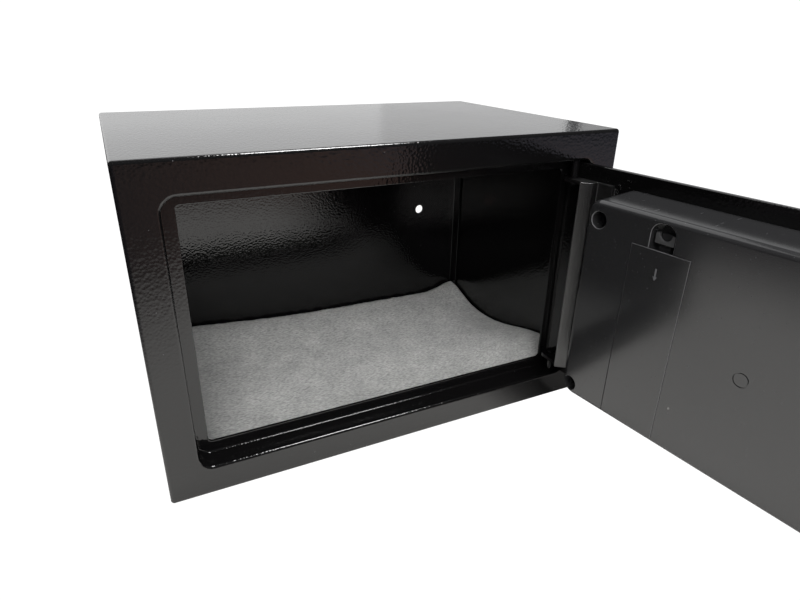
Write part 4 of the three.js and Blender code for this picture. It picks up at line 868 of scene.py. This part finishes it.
bolt_radius, bolt_cover_gap, bolt_edge, bolt_hole_depth = 7.5, 0.8, 31, 7.7
bolt_y = cover_face - cover_wall - bolt_cover_gap - bolt_radius
bolt_heights = (rim[3] - bolt_edge, rim[2] + bolt_edge)
gate_radius, gate_width, gate_depth = 4.25, 0.7, 0.5
gate_centre = (rim[1] - 111.8, middle_z - 2.6)
cover_grey, cover_dust, scratch_grey = (0.012, 0.012, 0.0125), (0.11, 0.11, 0.105), (0.032, 0.032, 0.034)


def block(x1, x2, y1, y2, z1, z2):
    return prism("z", [(x1, y1), (x2, y1), (x2, y2), (x1, y2)], z1, z2)


def cover_hull(depth_in):
    """The cover's outer form, or the form that far inside it."""
    slope = cover_draft / cover_thickness
    radius = cover_fillet - min(depth_in, cover_fillet - 1)
    start = plate_back - (1 if depth_in else 0)
    end = cover_face - depth_in - radius

    def at(y, inset):
        return ring(y, rim, inset + depth_in, max(cover_corner - inset - depth_in, 1), 10)

    hull = [at(start, (start - plate_back) * slope), at(end, (end - plate_back) * slope)]
    hull += [at(end + along, (end + along - plate_back) * slope + inward)
             for along, inward in rounding(radius)]
    return skin(hull)


def thumb_outline(grow):
    half, radius, top = thumb_half + grow, thumb_corner + grow, thumb_high + grow
    outline = [(lid_centre - half, thumb_low - grow), (lid_centre + half, thumb_low - grow)]
    outline += arc(lid_centre + half - radius, top - radius, radius, 0, 90, 10)
    return outline + arc(lid_centre - half + radius, top - radius, radius, 90, 180, 10)


def lid_space(gap):
    return block(lid_centre - lid_half - gap, lid_centre + lid_half + gap, cover_face - lid_wrap - gap,
                 cover_face + 1, rim[2] - 1, lid_top + gap)


def at_screws(profile, sides=48):
    return together(*(turned("y", centre, profile, sides) for centre in screw_places))


def shape_of(made):
    """The points and faces of a scratch piece, which is then thrown away."""
    points = [tuple(vertex.co) for vertex in made.data.vertices]
    faces = [tuple(face.vertices) for face in made.data.polygons]
    bpy.data.objects.remove(made)
    return points, faces


def moulded(made, radius, segments=2, scuff_and_highlight=None):
    """Brings a piece from millimetres to its place on the door and breaks its edges."""
    made.data.transform(door_place)
    return eased(made, radius, segments, scuff_and_highlight=scuff_and_highlight)


def cover_plastic():
    material, tree, place = plain_material(
        "satin_grey_moulding", cover_grey, 0.13, {"Specular IOR Level": 0.58},
    )
    wear = handled(tree, 60, 110)
    smeared = ranged(tree, wear["Smears"], 0.3, 0.7, 0.11, 0.16)
    dusty = mixed(tree, wear["Dust"], cover_grey, cover_dust)
    feed(tree, {
        "Base Color": mixed(tree, wear["Scratches"], dusty, scratch_grey),
        "Roughness": calculated(tree, "MULTIPLY_ADD", wear["Scratches"], 0.2, smeared),
        "Normal": bumped(tree, clouds(tree, place, 1600, 2), 0.12, 0.0001),
    })
    return material


def mottled(name, tones, roughness, scale, detail=4, strength=0.3, numbers=None):
    """A finish that varies softly between two tones."""
    material, tree, place = plain_material(name, tones[0], roughness, numbers)
    cloud = clouds(tree, place, scale, detail)
    feed(tree, {"Base Color": mixed(tree, cloud, *tones), "Normal": bumped(tree, cloud, strength, 0.0001)})
    return material


def satin_plastic(name, colour, roughness, grain_scale=900, numbers=None):
    """A moulding in one colour, with a fine grain."""
    tones = [tuple(part * share for part in colour) for share in (0.82, 1.15)]
    return mottled(name, tones, roughness, grain_scale, 3, 0.2, numbers)


grey_plastic = cover_plastic()
# A paler moulding for the rims and edges: scuffing and a painted highlight along them.
scuff_and_highlight_edge = satin_plastic("scuffed_and_highlit_grey_moulding", (0.07, 0.07, 0.073), 0.28)
hollow = piece("hollow", cover_hull(cover_wall), no_turn, grey_plastic)
boss_radius = well_radius + boss_wall
carved(hollow, at_screws([(well_floor - cover_wall, boss_radius), (cover_face, boss_radius)]))
carved(hollow, block(bay_left - bay_wall, bay_right + bay_wall, bay_back - bay_wall, cover_face + 1,
                     bay_low - bay_wall, bay_high + bay_wall))
carved(hollow, prism("y", thumb_outline(bay_wall), thumb_floor - bay_wall, cover_face + 1))
lid_bed = piece("lid_bed", lid_space(seam), no_turn, grey_plastic)
carved(lid_bed, cover_hull(lid_thickness + seam))
cover = piece("moulded_cover", cover_hull(0), no_turn, grey_plastic)
carved(cover, shape_of(hollow))
carved(cover, shape_of(lid_bed))
carved(cover, block(bay_left, bay_right, bay_back, cover_face + 1, bay_low, bay_high))
carved(cover, prism("y", thumb_outline(0), thumb_floor, cover_face + 1))
carved(cover, block(lid_centre - latch_half, lid_centre + latch_half, thumb_floor, cover_face - seam,
                    bay_high - 1, thumb_low + 1))
carved(cover, at_screws([(well_floor, well_radius - well_taper), (cover_face + 1, well_radius)]))
# The wells' mouths are chamfered in the paler moulding: scuffing and a painted highlight round each rim.
carved(cover, at_screws([(cover_face - 0.5, well_radius - 0.2), (cover_face + 0.5, well_radius + 0.8)]),
       finish=scuff_and_highlight_edge)
thumb_rim = skin([lifted("y", thumb_outline(along + 0.3), cover_face + along) for along in (-0.4, 0.4)])
# The thumb recess's rim is in the paler moulding too: scuffing and a painted highlight.
carved(cover, thumb_rim, finish=scuff_and_highlight_edge)
screw_bore = screw_radius + seam
carved(cover, at_screws([(well_floor - cover_wall - 1, screw_bore), (well_floor + 1, screw_bore)], 24))
bolt_hole = [(rim[0] - 1, bolt_radius + run_gap), (rim[0] + bolt_hole_depth, bolt_radius + run_gap)]
carved(cover, together(*(turned("x", (bolt_y, z), bolt_hole) for z in bolt_heights)))
carved(cover, turned("y", gate_centre, [
    (cover_face - gate_depth, gate_radius - gate_width), (cover_face + 1, gate_radius - gate_width),
    (cover_face + 1, gate_radius), (cover_face - gate_depth, gate_radius - gate_width / 3),
], loop=True))
# The cover's broken edges take the paler moulding: scuffing and a painted highlight.
moulded(cover, 0.3, scuff_and_highlight=scuff_and_highlight_edge)
dressed(cover, "door", "cover_plastic", "inner_cover")

# Cover screws.
# Zinc plated pan head screws with a cross recess, deep in their wells.
screw_seat = well_floor + seam
screw_head_radius, screw_head_height = 3.6, 2.4
cross_reach, cross_half, cross_floor = 1.9, 0.42, 0.9
pale_zinc, grey_zinc = (0.66, 0.66, 0.67), (0.47, 0.48, 0.51)


def zinc_plate():
    material, tree, place = plain_material("zinc_plated_steel", (0.60, 0.61, 0.63), 0.3, {"Metallic": 1})
    spangle = node(tree, "ShaderNodeTexVoronoi", {"Vector": place, "Scale": 600}).outputs["Distance"]
    smear = clouds(tree, place, 90, 5)
    feed(tree, {
        "Base Color": mixed(tree, spangle, pale_zinc, grey_zinc),
        "Roughness": ranged(tree, smear, 0.3, 0.7, 0.22, 0.46),
        "Normal": bumped(tree, smear, 0.15, 0.0002),
    })
    return material


zinc = zinc_plate()
screw_profile = [
    (plate_back + 4, screw_radius - 0.6), (plate_back + 5, screw_radius), (screw_seat, screw_radius),
    *((screw_seat + screw_head_height * math.sin(turn), screw_head_radius * (0.5 + 0.5 * math.cos(turn)))
      for turn in (math.pi / 2 * k / 5 for k in range(6))),
]
for i, (x, z) in enumerate(screw_places):
    screw = piece(f"pan_head_screw_{i + 1}", turned("y", (x, z), screw_profile, 32), door_place, zinc)
    for half_x, half_z in ((cross_reach, cross_half), (cross_half, cross_reach)):
        carved(screw, block(x - half_x, x + half_x, screw_seat + cross_floor, screw_seat + 4,
                            z - half_z, z + half_z), door_place)
    dressed(screw, "door", "zinc_steel", f"cover_screw_{i + 1}")

# Battery lid.
# A strip of the same moulding that slides down off the bay. A springy tongue with a two-horned catch
# snaps into the thumb recess, and a small plain arrow shows which way it slides.
catch_low, catch_high = thumb_low + 3, thumb_low + 9
catch_half, catch_corner, horn, catch_rise = 6, 0.6, 2, 1.4
tongue_half, tongue_sheet = 3.5, 1.4
tongue_low = bay_high - run_gap
arrow_tip, arrow_half, arrow_head, arrow_length, arrow_rise = lid_top - 17, 1.3, 2.2, 7, 0.3
lid = piece("battery_lid", cover_hull(0), no_turn, grey_plastic)
carved(lid, lid_space(0), operation="INTERSECT")
carved(lid, cover_hull(lid_thickness))
# The lid's broken edges take the paler moulding: scuffing and a painted highlight.
eased(lid, 0.28, scuff_and_highlight=scuff_and_highlight_edge, unit=1)
tongue_left, tongue_right = lid_centre - tongue_half, lid_centre + tongue_half
tongue_shape = block(tongue_left, tongue_right, tongue_back, tongue_back + tongue_sheet,
                     tongue_low - 1.5, catch_high)
tongue = piece("tongue", tongue_shape, no_turn, grey_plastic)
carved(tongue, block(tongue_left, tongue_right, tongue_back, cover_face - lid_thickness / 2,
                     tongue_low - 1.5, tongue_low), operation="UNION")
eased(tongue, 0.2, unit=1)
carved(lid, shape_of(tongue), operation="UNION")
catch_outline = [
    (lid_centre - catch_half, catch_low), (lid_centre + catch_half, catch_low),
    *arc(lid_centre + catch_half - catch_corner, catch_high - catch_corner, catch_corner, 0, 90, 3),
    (lid_centre + catch_half - horn, catch_high),
    *arc(lid_centre, catch_high, catch_half - horn, 0, -180, 12)[1:-1],
    (lid_centre - catch_half + horn, catch_high),
    *arc(lid_centre - catch_half + catch_corner, catch_high - catch_corner, catch_corner, 90, 180, 3),
]
worn_catch = satin_plastic("worn_catch", (0.04, 0.04, 0.041), 0.22)
catch_shape = prism("y", catch_outline, tongue_back, tongue_back + tongue_sheet + catch_rise)
catch = piece("catch", catch_shape, no_turn, worn_catch)
eased(catch, 0.3, unit=1)
carved(lid, shape_of(catch), operation="UNION", finish=worn_catch)
stem_half, arrow_neck = arrow_half / 3, arrow_tip + arrow_head
arrow_outline = [
    (lid_centre, arrow_tip), (lid_centre + arrow_half, arrow_neck), (lid_centre + stem_half, arrow_neck),
    (lid_centre + stem_half, arrow_tip + arrow_length), (lid_centre - stem_half, arrow_tip + arrow_length),
    (lid_centre - stem_half, arrow_neck), (lid_centre - arrow_half, arrow_neck),
]
arrow = prism("y", arrow_outline, cover_face - lid_thickness / 2, cover_face + arrow_rise)
# The arrow is in the paler moulding: scuffing and a painted highlight.
carved(lid, arrow, operation="UNION", finish=scuff_and_highlight_edge)
lid.data.transform(door_place)
dressed(lid, "battery_lid", "cover_plastic", "battery_cover")

# Lock bolts.
# Two round zinc plated bolts with chamfered noses. Each tail is riveted into the carriage, which the knob
# moves.
bolt_tip = leaf[0] + 10
bolt_end = bolt_tip + 29.2
bolt_chamfer = 1
tail_length, tail_radius, tail_edge = 3.1, 4, 0.4
bolt_profile = [
    (bolt_tip + bolt_chamfer * (1 - math.sin(turn)), bolt_radius - bolt_chamfer * (1 - math.cos(turn)))
    for turn in (math.pi / 2 * (1 - k / 5) for k in range(6))
]
bolt_profile += [
    (bolt_end - tail_edge, bolt_radius), (bolt_end, bolt_radius - tail_edge), (bolt_end, tail_radius),
    (bolt_end + tail_length, tail_radius), (bolt_end + tail_length, tail_radius + 2),
    (bolt_end + 4.2, 5.7), (bolt_end + 5.1, 4.6),
]


def refinished(material, *names):
    """Gives the CAD nodes that stay in view their finish."""
    for name in names:
        for place in frame["nodes"][name].material_slots:
            place.material = material


for name, z in zip(("upper", "lower"), bolt_heights):
    bolt = piece(f"round_bolt_{name}", turned("x", (bolt_y, z), bolt_profile, 64), door_place, zinc)
    dressed(bolt, "bolt_work", "zinc_steel", f"lock_bolt_{name}")
refinished(
    zinc, "bolt_guide", "bolt_carriage", "guide_stud_upper", "guide_stud_lower", "knob_spindle",
    "spindle_bushing", "key_cylinder_nut", "solenoid_frame", "solenoid_plunger", "battery_contact_top",
    "battery_contact_bottom",
)

# Solenoid.
# An iron frame with a copper winding. Its plunger is pushed down by a coil spring of steel wire.
cam_half, collar_height = 2.6, 1.6
solenoid_x, solenoid_y = 125, leaf_plate + 9.5 + 1.25
spring_length, spring_radius, spring_wire, spring_turns = 10.3, 5.1, 0.8, 5
spring_low = key_z + cam_half + run_gap + collar_height + seam


def spring_tree():
    """A coil of round wire."""
    tree, given = group_tree("wire coil", "GeometryNodeTree", {
        "Coil": "Geometry", "Foot": "Vector", "Turns": "Float", "Coil Radius": "Float", "Height": "Float",
        "Wire Radius": "Float", "Finish": "Material",
    }, {"Coil": "Geometry"})
    path = node(tree, "GeometryNodeCurveSpiral", {
        "Resolution": 40, "Rotations": given["Turns"], "Start Radius": given["Coil Radius"],
        "End Radius": given["Coil Radius"], "Height": given["Height"],
    })
    moved = node(tree, "GeometryNodeTransform", {"Geometry": path.outputs[0], "Translation": given["Foot"]})
    wire = tube(tree, moved.outputs[0], given["Wire Radius"], 12)
    return completed(tree, realised(tree, wire), given["Finish"])


spring_foot = door_place @ Vector((solenoid_x, solenoid_y, spring_low + spring_wire / 2))
spring = grown("return_spring", bpy.data.meshes.new("spring"), spring_tree(), {
    "Foot": spring_foot, "Turns": float(spring_turns), "Coil Radius": spring_radius * mm,
    "Height": (spring_length - 2 * spring_wire) * mm, "Wire Radius": spring_wire / 2 * mm, "Finish": zinc,
})
dressed(spring, "door", "zinc_steel", "plunger_spring")
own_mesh(spring)


def copper_wire():
    material, tree, place = plain_material(
        "enamelled_copper_wire", (0.42, 0.16, 0.05), 0.3, {"Metallic": 0.9},
    )
    strands = node(
        tree, "ShaderNodeTexWave", {"Vector": place, "Scale": 700, "Distortion": 0.4, "Detail": 1},
        bands_direction="Z",
    ).outputs["Fac"]
    # The grooves between turns are painted dark and the crowns pale: painted shade and painted highlight
    # along the winding.
    feed(tree, {
        "Base Color": mixed(tree, strands, (0.16, 0.05, 0.015), (0.5, 0.2, 0.07)),
        "Normal": bumped(tree, strands, 0.8, 0.0003),
    })
    return material


refinished(copper_wire(), "solenoid_coil")

# Cells, circuit board and wires.
# Four round cells in a plain blue sleeve, a green board behind the keys, and two soft red leads.
cell_blue = mottled("blue_cell_sleeve", ((0.02, 0.04, 0.14), (0.05, 0.09, 0.24)), 0.3, 120,
                    numbers={"Metallic": 0.4})
board_green = mottled("green_board_mask", ((0.01, 0.09, 0.03), (0.03, 0.2, 0.07)), 0.35, 500)
wire_red = mottled("red_wire_sleeve", ((0.22, 0.012, 0.01), (0.36, 0.03, 0.02)), 0.45, 300)
refinished(cell_blue, *(f"battery_cell_{i}" for i in range(1, 5)))
refinished(board_green, "circuit_board")
refinished(wire_red, "battery_lead", "solenoid_lead")

# Keypad housing.
# A black moulding screwed to the front of the leaf over the board, with a fine textured face. It is open
# behind and carries the keys, three lamps, the knob and the key override.
pad_height, pad_depth, pad_wall, pad_corner, pad_round = 92, 12, 2, 9, 2.5
pad_front = -seam - pad_depth
panel_back = pad_front + pad_wall
knob_radius, pad_margin, flange_room = 18, 6, 4.5
button_wide, button_high, button_gap, button_drop, pitch_x, pitch_z = 11, 8.5, 0.4, 9, 14, 12
buttons_right = key_x + pitch_x + button_wide / 2
pad = (
    knob_x - knob_radius - pad_margin, buttons_right + pad_margin + flange_room + pad_wall,
    middle_z - pad_height / 2, middle_z + pad_height / 2,
)
button_names = ("1", "2", "3", "4", "5", "6", "7", "8", "9", "clear", "0", "enter")
button_places = {
    name: (key_x + (i % 3 - 1) * pitch_x, pad[3] - button_drop - i // 3 * pitch_z)
    for i, name in enumerate(button_names)
}
lamp_radius, lamp_pitch, lamp_drop = 1.6, 12, 12
lamp_places = {
    colour: (knob_x + (i - 1) * lamp_pitch, pad[3] - lamp_drop)
    for i, colour in enumerate(("green", "yellow", "red"))
}
spindle_bore, cylinder_radius, shutter_arm, shutter_pin = 4.5, 9.5, 14, 1.5
groove_inset, groove_depth, groove_width = 5, 0.5, 1
pad_black, pad_dust = (0.014, 0.014, 0.015), (0.16, 0.16, 0.15)


def textured_black():
    material, tree, place = plain_material("textured_black_moulding", pad_black, 0.42)
    wear = handled(tree, 45, 120)
    spark = node(tree, "ShaderNodeTexVoronoi", {"Vector": place, "Scale": 1500}).outputs["Distance"]
    feed(tree, {
        "Base Color": mixed(tree, wear["Dust"], pad_black, pad_dust),
        "Roughness": ranged(tree, wear["Smears"], 0.3, 0.7, 0.36, 0.5),
        "Normal": bumped(tree, spark, 0.35, 0.0002),
    })
    return material


def around(x, z, wide, high):
    """The box of that width and height about a point."""
    return x - wide / 2, x + wide / 2, z - high / 2, z + high / 2


black_plastic = textured_black()
pad_rings = rounded_front(pad_front, pad, pad_corner, pad_round)
pad_rings += rings(pad, (-seam, 0, pad_corner), (-seam, pad_wall, pad_corner - pad_wall),
                   (panel_back, pad_wall, pad_corner - pad_wall))
housing = piece("keypad_case", skin(pad_rings), no_turn, black_plastic)
carved(housing, together(*(
    skin([ring(y, around(x, z, button_wide + 2 * button_gap, button_high + 2 * button_gap), 0, 2, 6)
          for y in (pad_front - 1, panel_back + 1)])
    for x, z in button_places.values()
)))
round_holes = [(centre, lamp_radius + seam) for centre in lamp_places.values()]
round_holes += [((knob_x, middle_z), spindle_bore), ((key_x, key_z), cylinder_radius + seam),
                ((key_x, key_z + shutter_arm), shutter_pin + run_gap / 2)]
carved(housing, together(*(
    turned("y", centre, [(pad_front - 1, radius), (panel_back + 1, radius)]) for centre, radius in round_holes
)))
field = (pad[0] + groove_inset, pad[1] - groove_inset, pad[2] + groove_inset, pad[3] - groove_inset)
groove_floor = pad_front + groove_depth
carved(housing, skin(rings(
    field, (pad_front - 1, 0, 6), (groove_floor, 0.2, 5.8), (groove_floor, groove_width - 0.2, 5.2),
    (pad_front - 1, groove_width, 5),
), loop=True))
moulded(housing, 0.2)
dressed(housing, "door", "black_plastic", "keypad_housing")

# Keys.
# Soft grey caps with dished tops, each held behind the panel by a flange. The digits are moulded in
# dark grey.
button_rise, flange, flange_back, dish = 2.5, 0.8, panel_back + 1.2, 0.35
cap_front, cap_back = pad_front - button_rise, pad_front + 3.3
digit_size, digit_rise, star_drop = 6.2, 0.2, 1.2


def character(body, x, z, front):
    """A plain raised character on a face that looks to the front."""
    data = bpy.data.curves.new("character", "FONT")
    data.body = body
    data.size = digit_size
    data.extrude = digit_rise
    data.resolution_u = 3
    data.align_x, data.align_y = "CENTER", "CENTER"
    made = linked("character", data)
    bpy.context.view_layer.update()
    mesh = bpy.data.meshes.new_from_object(made.evaluated_get(bpy.context.evaluated_depsgraph_get()))
    bpy.data.objects.remove(made)
    points = [(x + v.co.x, front - v.co.z, z + v.co.y) for v in mesh.vertices]
    return points, [tuple(face.vertices) for face in mesh.polygons]


key_grey = satin_plastic("grey_key_caps", (0.30, 0.305, 0.31), 0.42)
digit_ink = satin_plastic("dark_digits", (0.02, 0.02, 0.022), 0.5)
for name, (x, z) in button_places.items():
    cap_rings = rings(
        around(x, z, button_wide, button_high),
        (cap_front + dish, 3.2, 0.8), (cap_front + dish * 0.4, 1.9, 1.2), (cap_front, 0.9, 1.4),
        (cap_front + 0.12, 0.4, 1.7), (cap_front + 0.7, 0, 2), (panel_back + seam, 0, 2),
        (panel_back + seam, -flange, 2), (flange_back, -flange, 2), (flange_back, 0, 2), (cap_back, 0, 2),
        steps=6,
    )
    cap = piece(f"key_cap_{name}", skin(cap_rings), door_place, key_grey, sharp=40)
    dressed(cap, f"button_{name}", "button_plastic", f"button_{name}")
    sign = {"clear": "*", "enter": "#"}.get(name, name)
    low = z - star_drop if sign == "*" else z
    mark = piece(f"key_sign_{name}", character(sign, x, low, cap_front + dish * 0.75), door_place, digit_ink)
    dressed(mark, f"button_{name}", "button_plastic")

# Lamps.
# Three small domed lenses of tinted plastic, held by a flange behind the panel.
lamp_rise, lamp_flange = 0.9, 0.8
lamp_tints = {"green": (0.02, 0.30, 0.06), "yellow": (0.55, 0.36, 0.02), "red": (0.45, 0.02, 0.015)}


def dome(base, rise, radius, flat):
    """A domed profile, from a small flat at its top down to its foot."""
    turns = [math.pi / 2 * (k + flat) / (6 + flat) for k in range(7)]
    return [(base - rise * math.cos(turn), radius * math.sin(turn)) for turn in turns]


for colour, centre in lamp_places.items():
    lens = satin_plastic(f"{colour}_lens", lamp_tints[colour], 0.12, 300, {"Coat Weight": 0.6})
    lens_profile = dome(pad_front, lamp_rise, lamp_radius, 0.25) + [
        (panel_back + seam, lamp_radius), (panel_back + seam, lamp_radius + lamp_flange),
        (panel_back + seam + 1.2, lamp_radius + lamp_flange),
    ]
    lamp = piece(f"lamp_lens_{colour}", turned("y", centre, lens_profile, 32), door_place, lens)
    dressed(lamp, "door", f"lamp_{colour}", f"lamp_{colour}")

# Knob.
# A round black moulding pressed on the spindle, with a straight grip across it and an inlaid white line.
knob_back = pad_front - seam
knob_height, disc_height = 19, 8
knob_front, knob_disc = knob_back - knob_height, knob_back - disc_height
knob_round, grip_round, grip_corner, grip_half, grip_reach = 2, 1.6, 3.5, 4, 17
flute_radius, flute_count, flute_offset = 1.25, 36, 0.7
socket_radius, socket_roof = 4.3, 4.5
knob_centre = (knob_x, middle_z)
line_half, line_inner, line_outer, line_groove = 0.5, 5.1, 14.4, 0.1
knob_profile = [
    (knob_back, knob_radius - 0.5), (knob_back - 0.5, knob_radius), (knob_disc + knob_round, knob_radius),
    *((knob_disc + knob_round - along, knob_radius - inward) for along, inward in rounding(knob_round)),
    (knob_disc + 0.15, knob_radius - 4), (knob_disc + 0.6, knob_radius - 6),
]
knob = piece("turn_knob", turned("y", knob_centre, knob_profile, 96), no_turn, black_plastic)
grip = (knob_x - grip_half, knob_x + grip_half, middle_z - grip_reach, middle_z + grip_reach)
grip_rings = rounded_front(knob_front, grip, grip_corner, grip_round, 8)
grip_rings += rings(
    grip, (knob_disc - 1, 0, grip_corner), (knob_disc + 1.4, -0.6, grip_corner + 0.6), steps=8,
)
carved(knob, skin(grip_rings), operation="UNION")
socket = [(knob_front + socket_roof, socket_radius), (knob_back + 1, socket_radius)]
carved(knob, turned("y", knob_centre, socket))
flute_reach = knob_radius + flute_offset
flutes = [
    turned("y", (knob_x + flute_reach * math.cos(turn), middle_z + flute_reach * math.sin(turn)),
           [(knob_disc - 1, flute_radius), (knob_back - 1.2, flute_radius)], 16)
    for turn in (2 * math.pi * k / flute_count for k in range(flute_count))
]
carved(knob, together(*flutes))
groove_half = line_half + line_groove
carved(knob, block(knob_x - groove_half, knob_x + groove_half, knob_front - 1, knob_front + 0.4,
                   middle_z + line_inner - line_groove, middle_z + line_outer + line_groove))
moulded(knob, 0.15)
dressed(knob, "knob", "black_plastic", "door_knob")
white_ink = satin_plastic("white_line", (0.72, 0.72, 0.70), 0.5)
line_shape = block(knob_x - line_half, knob_x + line_half, knob_front + 0.12, knob_front + 0.6,
                   middle_z + line_inner, middle_z + line_outer)
dressed(piece("knob_line", line_shape, door_place, white_ink), "knob", "black_plastic")

# Key override.
# A round lock cylinder of zinc plated steel with a turning plug. A black shutter hangs over the keyhole.
key_centre = (key_x, key_z)
collar_rise, cylinder_back, keyway_depth = 1.5, 16, 18
collar_front = pad_front - seam - collar_rise
plug_radius = 5.8
cam_front, cam_sheet, cam_length = 17, 2.5, 20.5
collar = [
    (collar_front + 0.35, plug_radius + run_gap), (collar_front, plug_radius + run_gap + 0.35),
    (collar_front, cylinder_radius + 0.4), (collar_front + 0.6, cylinder_radius + 1),
    (pad_front - seam, cylinder_radius + 1), (pad_front - seam, cylinder_radius),
    (cylinder_back, cylinder_radius), (cylinder_back, plug_radius + run_gap),
]
cylinder = piece("lock_cylinder", turned("y", key_centre, collar, 64, loop=True), door_place, zinc)
dressed(cylinder, "door", "zinc_steel", "key_cylinder")
plug = piece("lock_plug", turned("y", key_centre, [
    (collar_front + 0.3, plug_radius - 0.3), (collar_front + 0.6, plug_radius),
    (cam_front + cam_sheet, plug_radius),
]), no_turn, zinc)
cam_outline = arc(key_x, key_z, cam_half, 0, 180, 10)
cam_outline += arc(key_x, key_z - cam_length + cam_half, cam_half, 180, 360, 10)
carved(plug, prism("y", cam_outline, cam_front, cam_front + cam_sheet), operation="UNION")
keyway = [(key_x + x, key_z + z) for x, z in (
    (-1, -4), (1, -4), (1, -1.2), (0.3, -0.6), (0.3, 0.6), (1, 1.2), (1, 4), (-1, 4),
)]
carved(plug, prism("y", keyway, collar_front - 1, collar_front + keyway_depth))
plug.data.transform(door_place)
dressed(plug, "key", "zinc_steel", "key_plug")
shutter_sheet, pivot_radius = 1.7, 3
shutter_back = collar_front - seam
shutter_front = shutter_back - shutter_sheet
shutter_radius, eye_radius, rivet_radius, rivet_rise = 10, 4.5, 2.6, 1.1
shutter_eye = (key_x, key_z + shutter_arm)
lean = math.degrees(math.asin((shutter_radius - eye_radius) / shutter_arm))
teardrop = arc(key_x, key_z, shutter_radius, 180 - lean, 360 + lean, 40)
teardrop += arc(*shutter_eye, eye_radius, lean, 180 - lean, 16)
shutter = piece("hanging_shutter", prism("y", teardrop, shutter_front, shutter_back), no_turn, black_plastic)
pivot = [
    (shutter_back - 1, pivot_radius), (pad_front - seam, pivot_radius),
    (pad_front - seam, shutter_pin), (panel_back + 1, shutter_pin),
]
carved(shutter, turned("y", shutter_eye, pivot), operation="UNION")
moulded(shutter, 0.45, 3)
dressed(shutter, "shutter", "black_plastic", "keyhole_shutter")
rivet_profile = dome(shutter_front, rivet_rise, rivet_radius, 0.3) + [(shutter_front + 0.3, rivet_radius)]
rivet = piece("shutter_rivet", turned("y", shutter_eye, rivet_profile, 32), door_place, zinc)
dressed(rivet, "shutter", "zinc_steel")
